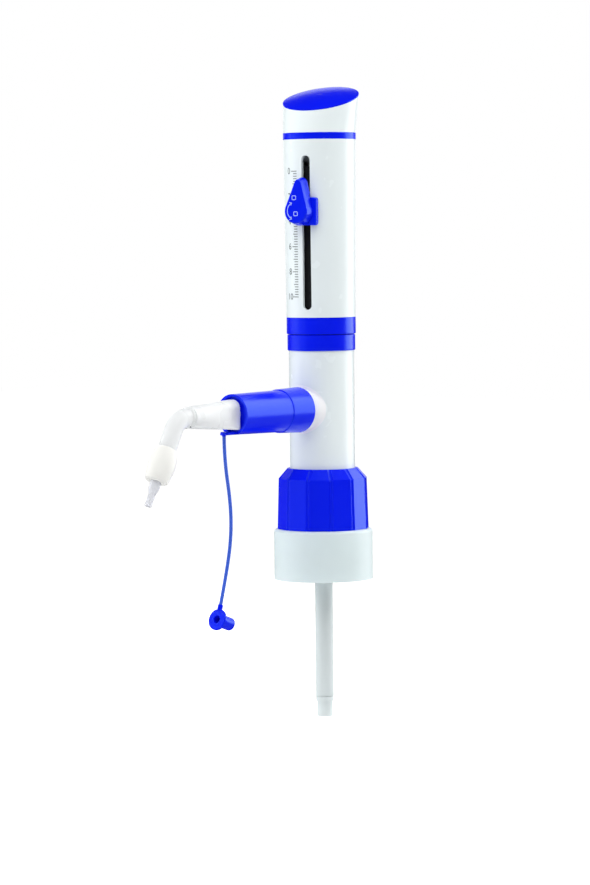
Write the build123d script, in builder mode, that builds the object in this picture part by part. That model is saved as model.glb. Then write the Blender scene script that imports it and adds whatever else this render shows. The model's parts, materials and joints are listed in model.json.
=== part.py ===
"""Bottle-top dispenser with a sliding plunger sleeve, a volume slider and a swivelling spout.

Millimetres, +Z up. The origin is on the axis at the adapter's open mouth, where the bottle's neck enters.
The spout leaves along -X. The sleeve's slot looks SLOT_TURN further round, towards -Y.
"""
import os
from math import atan2, cos, degrees, hypot, pi, radians, sin, sqrt, tan

from build123d import *

os.makedirs("parts", exist_ok=True)

# Clearances
FACE_GAP = 0.2  # between end faces that turn or slide past each other
TURN_GAP = 0.1  # radial, between plain parts that turn in each other
RUN_GAP = 0.05  # radial, on pins and telescoping tubes
PLUNGER_GAP = 0.03  # radial, the ground plunger in its glass cylinder
SEAT_GAP = 0.05  # between a valve ball and the edge that it rests on
SLIDE_GAP = 0.3  # between the sleeve and what stands inside it

# Edges
EDGE = 1.0
EDGE_SOFT = 0.5
EDGE_FINE = 0.25

# Thread adapter: a cup for the bottle's neck with a threaded neck on top
BOTTLE_THREAD_D = 45.2
BOTTLE_THREAD_DEPTH = 22.0
ADAPTER_WALL = 2.9
ADAPTER_WEB = 4.0
ADAPTER_SHOULDER = 1.6
NECK_WALL = 5.5
NECK_H = 18.5
ADAPTER_GASKET_H = 1.3

# Collar nut
NUT_WALL = 3.2  # round the adapter's neck
NUT_DRAFT = 0.8  # that the wall loses up to the chamfer
NUT_CHAMFER_H = 5.1
NUT_CHAMFER_W = 4.4
NUT_LIP_H = 3.6  # over the housing's flange
NUT_FLUTES = 12
NUT_FLUTE_PHASE = 20.0  # degrees
NUT_FLUTE_R = 1.3
NUT_FLUTE_DEPTH = 0.55
NUT_FLAT_DEPTH = 0.5  # of the flats' middles under the round between them

# Housing tube and the ring at its top
TUBE_D = 33.6
TUBE_WALL = 1.9
FLANGE_RIM = 3.7
FLANGE_H = 3.5
HOUSING_RING_RIM = 0.65
HOUSING_RING_GRIP = 2.6  # over the tube
HOUSING_RING_LIP = 5.6  # above the tube
BOSS_REACH = 1.8  # beyond the tube
BOSS_CONE_L = 9.5
BOSS_ROOT_L = 1.6
BOSS_FLARE = 4.0
BOSS_STEP = 2.2  # of its end, under the collar's edge
BOSS_FILLET = 1.0

# Valve block and the inlet side
BLOCK_FLANGE_H = 4.0
BLOCK_BORE_D = 13.0
CHANNEL_D = 4.4
OUTLET_OVER_CAGE = 15.8
BLOCK_OVER_OUTLET = 15.0
NIPPLE_LENGTH = 33.0
NIPPLE_FLANGE_RIM = 2.0
NIPPLE_FLANGE_H = 2.4
NIPPLE_SEAT_H = 14.0
INLET_SEAT_H = 6.0
INLET_BALL_D = 5.0
INLET_BALL_LAP = 0.5  # of the ball over the seat's edge
INLET_BALL_LIFT = 1.2
CAGE_SPARE = 0.7  # free space round the inlet ball
INTAKE_TUBE_D = 9.3
INTAKE_TUBE_WALL = 0.65
INTAKE_TUBE_LENGTH = 101.0
INTAKE_STOP = 3.6  # from the nipple's flange to the tube
EXTENSION_WALL = 0.9
EXTENSION_SPARE = 18.2  # from the nipple to the extension
EXTENSION_BEAD_RIM = 0.65
EXTENSION_BEAD_H = 2.4
EXTENSION_END = 8.0

# Plunger, glass cylinder and guard
PLUNGER_D = 14.1
STROKE = 64.0
GLASS_WALL = 1.72
GLASS_GRIP = 35.0  # plunger that stays in the glass at the full stroke
GLASS_FOOT_RIM = 1.7
GLASS_FOOT_H = 3.0
SEAL_H = 1.0
PLUNGER_FOOT_GAP = 3.0
GUARD_STEP = 1.1  # the tube's top edge beside the guard
GUARD_WALL = 3.3
GUARD_FOOT_H = 16.5  # in the tube
GUARD_CLAMP_H = 3.0
GROOVE_DEPTH = 1.7
BUSH_H = 14.0
BUSH_TOP_H = 5.9

# Plunger sleeve, its slot, its rings and the head
SLEEVE_LOW_WALL = 1.85
SLEEVE_HIGH_WALL = 2.7
SLEEVE_NECK_WALL = 0.9
SLEEVE_SHOULDER = 8.3  # above the slot
SLEEVE_RING_H = 8.6
SLEEVE_RING_LIP = 1.1
BAND_H = 3.4
SLOT_TURN = 16.6  # degrees from the spout
SLOT_W = 4.6
SLOT_FOOT = 4.0  # above the sleeve's ring
HEAD_WALL = 2.2
HEAD_FLOOR = 3.0
HEAD_SPIGOT = 8.2
HEAD_FLARE = 1.0
HEAD_H = 17.4  # from the band to the rim's centre
HEAD_RIM_SHIFT = 2.5  # the rim's centre lies back from the slot side
HEAD_TILT = 19.0  # degrees, down towards the slot
CAP_EDGE_H = 0.5
CAP_CROWN = 2.1
CAP_SPIGOT_H = 2.0
COUPLER_WALL = 2.45
COUPLER_GAP = 2.0  # over the guard
COUPLER_CUP = 9.0
COUPLER_STEM_D = 7.8
CALIBRATION_NUT_RIM = 3.1
CALIBRATION_NUT_H = 4.0

# Volume slider and its clamp lever
SLIDER_SETTING = 50.1  # of the slider's middle over the slot's bottom
SLIDER_H = 14.2
SLIDER_RIGHT = 6.5
SLIDER_LEFT = 5.0
SLIDER_PROUD = 2.0  # of the sleeve's widest end
SLIDER_LIFT = 0.15  # over the sleeve's widest end
SLIDER_KEY_H = 10.0
SLIDER_KEY_PLAY = 0.1
SLIDER_CORNER = 1.2
SHOE_RIM = 1.1  # beside the slot
SHOE_PLAY = 0.4  # in the guard's groove
SHOE_H = 12.0
STUD_D = 3.0
LEVER_H = 5.5
LEVER_ROUND_D = 14.4
LEVER_ROUND_X = -2.4
LEVER_TIP_D = 5.6
LEVER_TIP_X = -1.3
LEVER_TIP_REACH = 17.2
LEVER_DRAFT = 12.0  # degrees
LEVER_EDGE = 0.9
LEVER_ARM_DROP = 1.3
LEVER_ARM_CLEAR = 0.7  # beyond the block's corner

# Outlet: stem, collar, hood, duct and fitting
STEM_D = 13.8
STEM_DEPTH = 5.8  # in the valve block
STEM_CHANNEL_L = 11.0
STEM_PROUD = 4.4  # of the collar
OUTLET_BALL_D = 4.4
OUTLET_BALL_LAP = 0.6  # of the ball over the seat's edge
OUTLET_BALL_PLAY = 1.2
OUTLET_SEAT_L = 2.5
SPRING_D = 4.6
SPRING_WIRE_D = 0.5
SPRING_TURNS = 5
COLLAR_RIM = 4.8
COLLAR_DRAFT = 0.6  # that its radius loses outwards
COLLAR_L = 16.8
COLLAR_EDGE = 1.0
HOOD_RIM = 3.3  # at its mouth
HOOD_DRAFT = 0.5  # that its radius gains towards the collar
HOOD_L = 34.9
HOOD_WALL = 1.3
HOOD_RECESS = 2.0  # depth of the shallow mouth
HOOD_TAB_L = 7.5
HOOD_TAB_ARC = 36.0  # degrees
HOOD_TAB_ROUND = 2.6
HOOD_TAB_PIN_D = 2.2
HOOD_TAB_PIN_H = 0.5
DUCT_D = 7.6
DUCT_BORE_D = 4.0
DUCT_PLUG_L = 4.0
DUCT_FLANGE_L = 2.6
DUCT_SOCKET = 7.5  # length in the fitting
FITTING_SIDE_WALL = 1.2  # beside the duct
FITTING_MOUTH_GAP = 1.4  # over and under the fitting in the hood's mouth
FITTING_ARCH = 0.9  # of half its width, the radius of its upper corners
FITTING_CORNER = 0.8
FITTING_STRAIGHT = 1.7
FITTING_L = 32.9

# Spout: it swivels in the fitting at the knee
SPIGOT_D = 7.4
SPIGOT_L = 9.0
KNEE_WALL = 1.9
KNEE_RING_L = 1.6
KNEE_RING_STEP = 0.8
KNEE_GROOVE = 0.35
SEAL_RING_D = 1.0
SPOUT_BORE_D = 3.6
SPOUT_BEND = 62.0  # degrees down from level
SPOUT_BEND_R = 11.0
SPOUT_LEG = 16.0  # straight length after the bend
HOLDER_L = 17.6
HOLDER_WALL = 0.7
HOLDER_BELLY = 1.3
HOLDER_END_WALL = 2.8
HOLDER_SOCKET = 6.0
NOZZLE_SOCKET = 6.0
NOZZLE_REACH = 13.0  # from the holder's end to the nozzle's tip
NOZZLE_END_L = 6.0
NOZZLE_BORE_D = 1.6
NOZZLE_WALL = 1.0
NOZZLE_STEP = 0.9

# Tether and stopper cap
TETHER_D = 1.8
RUN_SHARE = 0.45  # of the shorter run beside a corner, taken up by its arc
STOPPER_TILT = 19.0  # degrees, the open face looks up by this
STOPPER_FLANGE_H = 1.5
STOPPER_FLANGE_RIM = 2.1
STOPPER_WALL = 1.3
STOPPER_FLOOR = 2.5
STOPPER_SPARE = 2.5  # beyond the nozzle's end
STOPPER_EAR_D = 2.6
STOPPER_EAR_L = 2.2
STOPPER_EDGE = 0.4

# Diameters that follow, from the tube inwards and outwards
TUBE_BORE_D = TUBE_D - 2 * TUBE_WALL
BLOCK_D = TUBE_BORE_D - 2 * TURN_GAP
FLANGE_D = TUBE_D + 2 * FLANGE_RIM
NECK_D = FLANGE_D
NECK_BORE_D = NECK_D - 2 * NECK_WALL
ADAPTER_D = BOTTLE_THREAD_D + 2 * ADAPTER_WALL
NUT_D = NECK_D + 2 * NUT_WALL
NUT_TOP_D = NUT_D - 2 * NUT_DRAFT
HOUSING_RING_D = TUBE_D + 2 * HOUSING_RING_RIM
GUARD_D = TUBE_D - 2 * GUARD_STEP
GUARD_BORE_D = GUARD_D - 2 * GUARD_WALL
GROOVE_FLOOR = GUARD_D / 2 - GROOVE_DEPTH
GLASS_BORE_D = PLUNGER_D + 2 * PLUNGER_GAP
GLASS_D = GLASS_BORE_D + 2 * GLASS_WALL
GLASS_FOOT_D = GLASS_D + 2 * GLASS_FOOT_RIM
COUPLER_D = PLUNGER_D + 2 * COUPLER_WALL
CALIBRATION_NUT_D = COUPLER_STEM_D + 2 * CALIBRATION_NUT_RIM
SLEEVE_BORE_D = GUARD_D + 2 * SLIDE_GAP
SLEEVE_NECK_D = SLEEVE_BORE_D + 2 * SLEEVE_NECK_WALL
SLEEVE_BOTTOM_D = SLEEVE_BORE_D + 2 * SLEEVE_LOW_WALL
SLEEVE_TOP_D = SLEEVE_BORE_D + 2 * SLEEVE_HIGH_WALL
SLEEVE_TOP_R = SLEEVE_TOP_D / 2
SLEEVE_RING_D = SLEEVE_BOTTOM_D - 2 * RUN_GAP
BAND_D = SLEEVE_TOP_D + 2 * RUN_GAP
HEAD_RIM_D = SLEEVE_TOP_D + 2 * HEAD_FLARE
SLIDER_FACE = SLEEVE_TOP_R + SLIDER_PROUD
SHOE_W = SLOT_W + 2 * SHOE_RIM
GROOVE_W = SHOE_W + 2 * SHOE_PLAY
INLET_SEAT_BORE_D = INLET_BALL_D - 2 * INLET_BALL_LAP
NIPPLE_FLANGE_D = BLOCK_BORE_D + 2 * NIPPLE_FLANGE_RIM
INTAKE_TUBE_BORE_D = INTAKE_TUBE_D - 2 * INTAKE_TUBE_WALL
EXTENSION_D = INTAKE_TUBE_BORE_D - 2 * RUN_GAP
EXTENSION_BEAD_D = EXTENSION_D + 2 * EXTENSION_BEAD_RIM
COLLAR_D = STEM_D + 2 * COLLAR_RIM
BOSS_END_D = COLLAR_D - 2 * BOSS_STEP
BOSS_ROOT_D = BOSS_END_D + 2 * BOSS_FLARE
STEM_CHAMBER_D = OUTLET_BALL_D + 2 * OUTLET_BALL_PLAY
OUTLET_SEAT_BORE_D = OUTLET_BALL_D - 2 * OUTLET_BALL_LAP
HOOD_D = STEM_D + 2 * HOOD_RIM
HOOD_MOUTH_D = HOOD_D - 2 * HOOD_WALL
DUCT_FLANGE_D = STEM_D - 2 * FACE_GAP
FITTING_W = DUCT_D + 2 * FITTING_SIDE_WALL
FITTING_H = HOOD_MOUTH_D - 2 * FITTING_MOUTH_GAP
KNEE_D = SPIGOT_D + 2 * KNEE_WALL
KNEE_RING_D = KNEE_D - 2 * TURN_GAP
SPOUT_TUBE_D = KNEE_RING_D - 2 * KNEE_RING_STEP
HOLDER_TOP_D = SPOUT_TUBE_D + 2 * HOLDER_WALL
HOLDER_BELLY_D = HOLDER_TOP_D + 2 * HOLDER_BELLY
NOZZLE_END_D = NOZZLE_BORE_D + 2 * NOZZLE_WALL
NOZZLE_D = NOZZLE_END_D + 2 * NOZZLE_STEP
HOLDER_END_D = NOZZLE_D + 2 * HOLDER_END_WALL
STOPPER_BORE_D = NOZZLE_END_D + 2 * FACE_GAP
STOPPER_STEM_D = STOPPER_BORE_D + 2 * STOPPER_WALL
STOPPER_FLANGE_D = STOPPER_STEM_D + 2 * STOPPER_FLANGE_RIM

# Heights that follow, from the bottle upwards
ADAPTER_H = BOTTLE_THREAD_DEPTH + ADAPTER_WEB
NECK_TOP_Z = ADAPTER_H + NECK_H
NUT_BOTTOM_Z = ADAPTER_H + TURN_GAP
BLOCK_BOTTOM_Z = NECK_TOP_Z + ADAPTER_GASKET_H + FACE_GAP
FLANGE_BOTTOM_Z = BLOCK_BOTTOM_Z + BLOCK_FLANGE_H
FLANGE_TOP_Z = FLANGE_BOTTOM_Z + FLANGE_H
NUT_TOP_Z = FLANGE_TOP_Z + FACE_GAP + NUT_LIP_H
NUT_H = NUT_TOP_Z - NUT_BOTTOM_Z
NIPPLE_TOP_Z = BLOCK_BOTTOM_Z + NIPPLE_SEAT_H
NIPPLE_BOTTOM_Z = NIPPLE_TOP_Z - NIPPLE_LENGTH
INTAKE_TUBE_TOP_Z = BLOCK_BOTTOM_Z - NIPPLE_FLANGE_H - INTAKE_STOP
INTAKE_TUBE_BOTTOM_Z = INTAKE_TUBE_TOP_Z - INTAKE_TUBE_LENGTH
EXTENSION_TOP_Z = NIPPLE_BOTTOM_Z - EXTENSION_SPARE
BEAD_TOP_Z = INTAKE_TUBE_BOTTOM_Z - FACE_GAP
BEAD_BOTTOM_Z = BEAD_TOP_Z - EXTENSION_BEAD_H
EXTENSION_BOTTOM_Z = BEAD_BOTTOM_Z - EXTENSION_END
INLET_SEAT_TOP_Z = NIPPLE_TOP_Z + INLET_SEAT_H
CAGE_TOP_Z = INLET_SEAT_TOP_Z + INLET_BALL_D + INLET_BALL_LIFT
OUTLET_Z = CAGE_TOP_Z + OUTLET_OVER_CAGE
BLOCK_TOP_Z = OUTLET_Z + BLOCK_OVER_OUTLET
SEAL_TOP_Z = BLOCK_TOP_Z + SEAL_H
TUBE_TOP_Z = SEAL_TOP_Z + GUARD_FOOT_H
TUBE_H = TUBE_TOP_Z - FLANGE_BOTTOM_Z
HOUSING_RING_BOTTOM_Z = TUBE_TOP_Z - HOUSING_RING_GRIP
HOUSING_RING_TOP_Z = TUBE_TOP_Z + HOUSING_RING_LIP
HOUSING_RING_H = HOUSING_RING_GRIP + HOUSING_RING_LIP
SLEEVE_RING_BOTTOM_Z = HOUSING_RING_TOP_Z + SLIDE_GAP
SLEEVE_BOTTOM_Z = SLEEVE_RING_BOTTOM_Z + SLEEVE_RING_LIP
SLEEVE_RING_TOP_Z = SLEEVE_RING_BOTTOM_Z + SLEEVE_RING_H
SLOT_BOTTOM_Z = SLEEVE_RING_TOP_Z + SLOT_FOOT
SLOT_TOP_Z = SLOT_BOTTOM_Z + STROKE + SLIDER_H + SLIDE_GAP
SLEEVE_TOP_Z = SLOT_TOP_Z + SLEEVE_SHOULDER
SLIDER_Z = SLOT_BOTTOM_Z + SLIDER_SETTING
BAND_TOP_Z = SLEEVE_TOP_Z + BAND_H
HEAD_RIM_Z = BAND_TOP_Z + HEAD_H
GLASS_H = PLUNGER_FOOT_GAP + STROKE + GLASS_GRIP
GLASS_TOP_Z = SEAL_TOP_Z + GLASS_H
GUARD_CLAMP_TOP_Z = SEAL_TOP_Z + GLASS_FOOT_H + GUARD_CLAMP_H
GUARD_TOP_Z = GLASS_TOP_Z + BUSH_TOP_H + TURN_GAP
COUPLER_BOTTOM_Z = GUARD_TOP_Z + COUPLER_GAP
PLUNGER_BOTTOM_Z = SEAL_TOP_Z + PLUNGER_FOOT_GAP
PLUNGER_TOP_Z = COUPLER_BOTTOM_Z + COUPLER_CUP

# Distances from the axis that follow, out along the spout
STEM_START = BLOCK_D / 2 - STEM_DEPTH
STEM_CHAMBER_START = STEM_START + STEM_CHANNEL_L
BOSS_END = TUBE_D / 2 + BOSS_REACH
BOSS_CONE_START = BOSS_END - BOSS_CONE_L
BOSS_START = BOSS_CONE_START - BOSS_ROOT_L
COLLAR_START = BOSS_END + FACE_GAP
COLLAR_END = COLLAR_START + COLLAR_L
STEM_END = COLLAR_END + STEM_PROUD
DUCT_START = STEM_END - DUCT_PLUG_L
DUCT_FLANGE_END = STEM_END + DUCT_FLANGE_L
HOOD_SHOULDER = DUCT_FLANGE_END + FACE_GAP
HOOD_END = COLLAR_END + HOOD_L
HOOD_TAB_END = HOOD_END + HOOD_TAB_L
FITTING_START = HOOD_END - FACE_GAP
DUCT_END = FITTING_START + DUCT_SOCKET
KNEE = FITTING_START + FITTING_L

# Planes and axes
SLOT_ANGLE = 180 + SLOT_TURN
SLOT_OUT = (cos(radians(SLOT_ANGLE)), sin(radians(SLOT_ANGLE)), 0)
SLOT_RIGHT = (-SLOT_OUT[1], SLOT_OUT[0], 0)
OUTLET_AXIS = Axis((0, 0, OUTLET_Z), (-1, 0, 0))


def slot_plane(distance, height=SLIDER_Z):
    """A plane that faces out of the slot, this far from the axis, with its Y up."""
    origin = (SLOT_OUT[0] * distance, SLOT_OUT[1] * distance, height)
    return Plane(origin=origin, x_dir=SLOT_RIGHT, z_dir=SLOT_OUT)


def outlet_plane(distance):
    """A plane across the spout, this far from the axis, that faces outwards with its Y up."""
    return Plane(origin=(-distance, 0, OUTLET_Z), x_dir=(0, -1, 0), z_dir=(-1, 0, 0))


def rims(part, diameter, height):
    """The level circular edges of this diameter at this height."""
    return part.edges().filter_by(GeomType.CIRCLE).filter_by(
        lambda edge: abs(edge.radius - diameter / 2) < 0.01 and abs(edge.arc_center.Z - height) < 0.01
    )


def outlet_rims(part, diameter, distance):
    """The circular edges of this diameter round the spout's axis, this far out."""
    return part.edges().filter_by(GeomType.CIRCLE).filter_by(
        lambda edge: abs(edge.radius - diameter / 2) < 0.01 and abs(edge.arc_center.X + distance) < 0.01
    )


# Thread adapter
with BuildPart() as thread_adapter:
    with BuildSketch():
        Circle(ADAPTER_D / 2)
    extrude(amount=ADAPTER_H)
    fillet(rims(thread_adapter, ADAPTER_D, ADAPTER_H), ADAPTER_SHOULDER)
    with BuildSketch(Plane.XY.offset(ADAPTER_H)):
        Circle(NECK_D / 2)
    extrude(amount=NECK_H)
    with BuildSketch():
        Circle(BOTTLE_THREAD_D / 2)
    extrude(amount=BOTTLE_THREAD_DEPTH, mode=Mode.SUBTRACT)
    with BuildSketch(Plane.XY.offset(BOTTLE_THREAD_DEPTH)):
        Circle(NECK_BORE_D / 2)
    extrude(amount=NECK_TOP_Z - BOTTLE_THREAD_DEPTH, mode=Mode.SUBTRACT)
thread_adapter.part.label = "thread_adapter"

# Flat gasket on the adapter's neck
with BuildPart() as adapter_gasket:
    with BuildSketch(Plane.XY.offset(NECK_TOP_Z)):
        Circle(NECK_D / 2 - TURN_GAP)
        Circle(NECK_BORE_D / 2, mode=Mode.SUBTRACT)
    extrude(amount=ADAPTER_GASKET_H)
adapter_gasket.part.label = "adapter_gasket"

# Collar nut: tapered and chamfered, with flats between flutes and a lip that holds the housing down.
# The flutes lie at the corners of the flats, and both run on over the chamfer.
NUT_SHOULDER_Z = NUT_TOP_Z - NUT_CHAMFER_H
NUT_SLOPE = degrees(atan2((NUT_D - NUT_TOP_D) / 2, NUT_H - NUT_CHAMFER_H))
NUT_CHAMFER_SLOPE = degrees(atan2(NUT_CHAMFER_W, NUT_CHAMFER_H))


def flute_plane(turn, surface_r, height, slope):
    """A plane across a flute where the nut has this radius, that faces up along the nut's slope there."""
    out = (cos(radians(turn)), sin(radians(turn)))
    centre_r = surface_r + NUT_FLUTE_R - NUT_FLUTE_DEPTH
    lean = sin(radians(slope))
    return Plane(
        origin=(centre_r * out[0], centre_r * out[1], height),
        z_dir=(-lean * out[0], -lean * out[1], cos(radians(slope))),
    )


with BuildPart() as nut_flats:
    with BuildSketch(Plane.XY.offset(NUT_BOTTOM_Z)):
        RegularPolygon(NUT_D / 2 - NUT_FLAT_DEPTH, NUT_FLUTES, major_radius=False, rotation=NUT_FLUTE_PHASE)
    extrude(amount=NUT_SHOULDER_Z - NUT_BOTTOM_Z, taper=NUT_SLOPE)
    with BuildSketch(Plane.XY.offset(NUT_SHOULDER_Z)):
        RegularPolygon(
            NUT_TOP_D / 2 - NUT_FLAT_DEPTH, NUT_FLUTES, major_radius=False, rotation=NUT_FLUTE_PHASE
        )
    extrude(amount=NUT_CHAMFER_H, taper=NUT_CHAMFER_SLOPE)
with BuildPart() as collar_nut:
    with BuildSketch(Plane.XZ):
        with BuildLine():
            Polyline(
                (0, NUT_BOTTOM_Z),
                (NUT_D / 2, NUT_BOTTOM_Z),
                (NUT_TOP_D / 2, NUT_SHOULDER_Z),
                (NUT_TOP_D / 2 - NUT_CHAMFER_W, NUT_TOP_Z),
                (0, NUT_TOP_Z),
                close=True,
            )
        make_face()
    revolve(axis=Axis.Z)
    add(nut_flats.part, mode=Mode.INTERSECT)
    for flute in range(NUT_FLUTES):
        turn = NUT_FLUTE_PHASE + flute * 360 / NUT_FLUTES
        with BuildSketch(flute_plane(turn, NUT_D / 2, NUT_BOTTOM_Z, NUT_SLOPE)):
            Circle(NUT_FLUTE_R)
        extrude(amount=NUT_H, mode=Mode.SUBTRACT)
        with BuildSketch(flute_plane(turn, NUT_TOP_D / 2, NUT_SHOULDER_Z, NUT_CHAMFER_SLOPE)):
            Circle(NUT_FLUTE_R)
        extrude(amount=NUT_CHAMFER_W + NUT_CHAMFER_H, both=True, mode=Mode.SUBTRACT)
    with BuildSketch(Plane.XY.offset(NUT_BOTTOM_Z)):
        Circle(NECK_D / 2 + TURN_GAP)
    extrude(amount=FLANGE_TOP_Z + FACE_GAP - NUT_BOTTOM_Z, mode=Mode.SUBTRACT)
    with BuildSketch(Plane.XY.offset(NUT_BOTTOM_Z)):
        Circle(TUBE_D / 2 + SLIDE_GAP)
    extrude(amount=NUT_H, mode=Mode.SUBTRACT)
collar_nut.part.label = "collar_nut"

# Housing tube, with a flange under the nut's lip and a conical boss where the outlet leaves
with BuildPart() as housing_tube:
    with BuildSketch(Plane.XY.offset(FLANGE_BOTTOM_Z)):
        Circle(TUBE_D / 2)
    extrude(amount=TUBE_H)
    with BuildSketch(Plane.XZ):
        with BuildLine():
            Polyline(
                (-BOSS_START, OUTLET_Z),
                (-BOSS_START, OUTLET_Z + BOSS_ROOT_D / 2),
                (-BOSS_CONE_START, OUTLET_Z + BOSS_ROOT_D / 2),
                (-BOSS_END, OUTLET_Z + BOSS_END_D / 2),
                (-BOSS_END, OUTLET_Z),
                close=True,
            )
        make_face()
    revolve(axis=OUTLET_AXIS)
    boss_joint = housing_tube.edges().filter_by(
        lambda edge: edge.geom_type not in (GeomType.CIRCLE, GeomType.LINE)
    )
    fillet(boss_joint, min(BOSS_FILLET, (TUBE_D - BOSS_ROOT_D) / 4))
    with BuildSketch(Plane.XY.offset(FLANGE_BOTTOM_Z)):
        Circle(FLANGE_D / 2)
    extrude(amount=FLANGE_H)
    with BuildSketch(Plane.XY.offset(FLANGE_BOTTOM_Z)):
        Circle(TUBE_BORE_D / 2)
    extrude(amount=TUBE_H, mode=Mode.SUBTRACT)
    with BuildSketch(outlet_plane(STEM_START)):
        Circle(STEM_D / 2 + TURN_GAP)
    extrude(amount=BOSS_END, mode=Mode.SUBTRACT)
housing_tube.part.label = "housing_tube"

# Housing ring: screws over the tube's top and closes on the guard
with BuildPart() as housing_ring:
    with BuildSketch(Plane.XY.offset(HOUSING_RING_BOTTOM_Z)):
        Circle(HOUSING_RING_D / 2)
    extrude(amount=HOUSING_RING_H)
    fillet(rims(housing_ring, HOUSING_RING_D, HOUSING_RING_BOTTOM_Z), EDGE_SOFT)
    chamfer(rims(housing_ring, HOUSING_RING_D, HOUSING_RING_TOP_Z), EDGE_FINE)
    with BuildSketch(Plane.XY.offset(HOUSING_RING_BOTTOM_Z)):
        Circle(TUBE_D / 2 + RUN_GAP)
    extrude(amount=HOUSING_RING_H - HOUSING_RING_LIP, mode=Mode.SUBTRACT)
    with BuildSketch(Plane.XY.offset(HOUSING_RING_BOTTOM_Z)):
        Circle(GUARD_D / 2 + RUN_GAP)
    extrude(amount=HOUSING_RING_H, mode=Mode.SUBTRACT)
housing_ring.part.label = "housing_ring"

# Valve block: a bore from below for the inlet valve, a channel to the cylinder, a side bore for the outlet
with BuildPart() as valve_block:
    with BuildSketch(Plane.XY.offset(BLOCK_BOTTOM_Z)):
        Circle(BLOCK_D / 2)
    extrude(amount=BLOCK_TOP_Z - BLOCK_BOTTOM_Z)
    with BuildSketch(Plane.XY.offset(BLOCK_BOTTOM_Z)):
        Circle(FLANGE_D / 2 - FACE_GAP)
    extrude(amount=BLOCK_FLANGE_H)
    with BuildSketch(Plane.XY.offset(BLOCK_BOTTOM_Z)):
        Circle(BLOCK_BORE_D / 2)
    extrude(amount=INLET_SEAT_TOP_Z - BLOCK_BOTTOM_Z, mode=Mode.SUBTRACT)
    with BuildSketch(Plane.XY.offset(INLET_SEAT_TOP_Z)):
        Circle(INLET_BALL_D / 2 + CAGE_SPARE)
    extrude(amount=CAGE_TOP_Z - INLET_SEAT_TOP_Z, mode=Mode.SUBTRACT)
    with BuildSketch(Plane.XY.offset(INLET_SEAT_TOP_Z)):
        Circle(CHANNEL_D / 2)
    extrude(amount=BLOCK_TOP_Z - INLET_SEAT_TOP_Z, mode=Mode.SUBTRACT)
    with BuildSketch(outlet_plane(STEM_START)):
        Circle(STEM_D / 2)
    extrude(amount=BLOCK_D, mode=Mode.SUBTRACT)
    with BuildSketch(outlet_plane(0)):
        Circle(CHANNEL_D / 2)
    extrude(amount=STEM_START, mode=Mode.SUBTRACT)
valve_block.part.label = "valve_block"

# Intake nipple: plugs into the block from below and carries the tube
with BuildPart() as intake_nipple:
    with BuildSketch(Plane.XY.offset(BLOCK_BOTTOM_Z)):
        Circle(BLOCK_BORE_D / 2 - RUN_GAP)
    extrude(amount=NIPPLE_SEAT_H)
    with BuildSketch(Plane.XY.offset(BLOCK_BOTTOM_Z - NIPPLE_FLANGE_H)):
        Circle(NIPPLE_FLANGE_D / 2)
    extrude(amount=NIPPLE_FLANGE_H)
    with BuildSketch(Plane.XY.offset(NIPPLE_BOTTOM_Z)):
        Circle(INTAKE_TUBE_BORE_D / 2 - RUN_GAP)
    extrude(amount=NIPPLE_LENGTH - NIPPLE_SEAT_H)
    chamfer(rims(intake_nipple, INTAKE_TUBE_BORE_D - 2 * RUN_GAP, NIPPLE_BOTTOM_Z), EDGE_SOFT)
    with BuildSketch(Plane.XY.offset(NIPPLE_BOTTOM_Z)):
        Circle(CHANNEL_D / 2)
    extrude(amount=NIPPLE_LENGTH, mode=Mode.SUBTRACT)
intake_nipple.part.label = "intake_nipple"

# Inlet seat: a ring whose bore's edge carries the ball
with BuildPart() as inlet_seat:
    with BuildSketch(Plane.XY.offset(NIPPLE_TOP_Z)):
        Circle(BLOCK_BORE_D / 2 - RUN_GAP)
        Circle(INLET_SEAT_BORE_D / 2, mode=Mode.SUBTRACT)
    extrude(amount=INLET_SEAT_H)
inlet_seat.part.label = "inlet_seat"


def ball_rise(ball_d, bore_d):
    """How far a ball's centre stands over the bore's edge that it rests on."""
    return sqrt(ball_d**2 - bore_d**2) / 2 + SEAT_GAP


INLET_BALL_Z = INLET_SEAT_TOP_Z + ball_rise(INLET_BALL_D, INLET_SEAT_BORE_D)
with BuildPart() as inlet_ball:
    with Locations((0, 0, INLET_BALL_Z)):
        Sphere(INLET_BALL_D / 2)
inlet_ball.part.label = "inlet_ball"

# Intake tube and the extension that telescopes in it
with BuildPart() as intake_tube:
    with BuildSketch(Plane.XY.offset(INTAKE_TUBE_BOTTOM_Z)):
        Circle(INTAKE_TUBE_D / 2)
        Circle(INTAKE_TUBE_BORE_D / 2, mode=Mode.SUBTRACT)
    extrude(amount=INTAKE_TUBE_LENGTH)
intake_tube.part.label = "intake_tube"

with BuildPart() as intake_extension:
    with BuildSketch(Plane.XY.offset(EXTENSION_BOTTOM_Z)):
        Circle(EXTENSION_D / 2)
    extrude(amount=EXTENSION_TOP_Z - EXTENSION_BOTTOM_Z)
    with BuildSketch(Plane.XY.offset(BEAD_BOTTOM_Z)):
        Circle(EXTENSION_BEAD_D / 2)
    extrude(amount=EXTENSION_BEAD_H)
    with BuildSketch(Plane.XY.offset(EXTENSION_BOTTOM_Z)):
        Circle(EXTENSION_D / 2 - EXTENSION_WALL)
    extrude(amount=EXTENSION_TOP_Z - EXTENSION_BOTTOM_Z, mode=Mode.SUBTRACT)
intake_extension.part.label = "intake_extension"

# Cylinder seal between the block and the glass
with BuildPart() as cylinder_seal:
    with BuildSketch(Plane.XY.offset(BLOCK_TOP_Z)):
        Circle(BLOCK_D / 2)
        Circle(GLASS_BORE_D / 2, mode=Mode.SUBTRACT)
    extrude(amount=SEAL_H)
cylinder_seal.part.label = "cylinder_seal"

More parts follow.
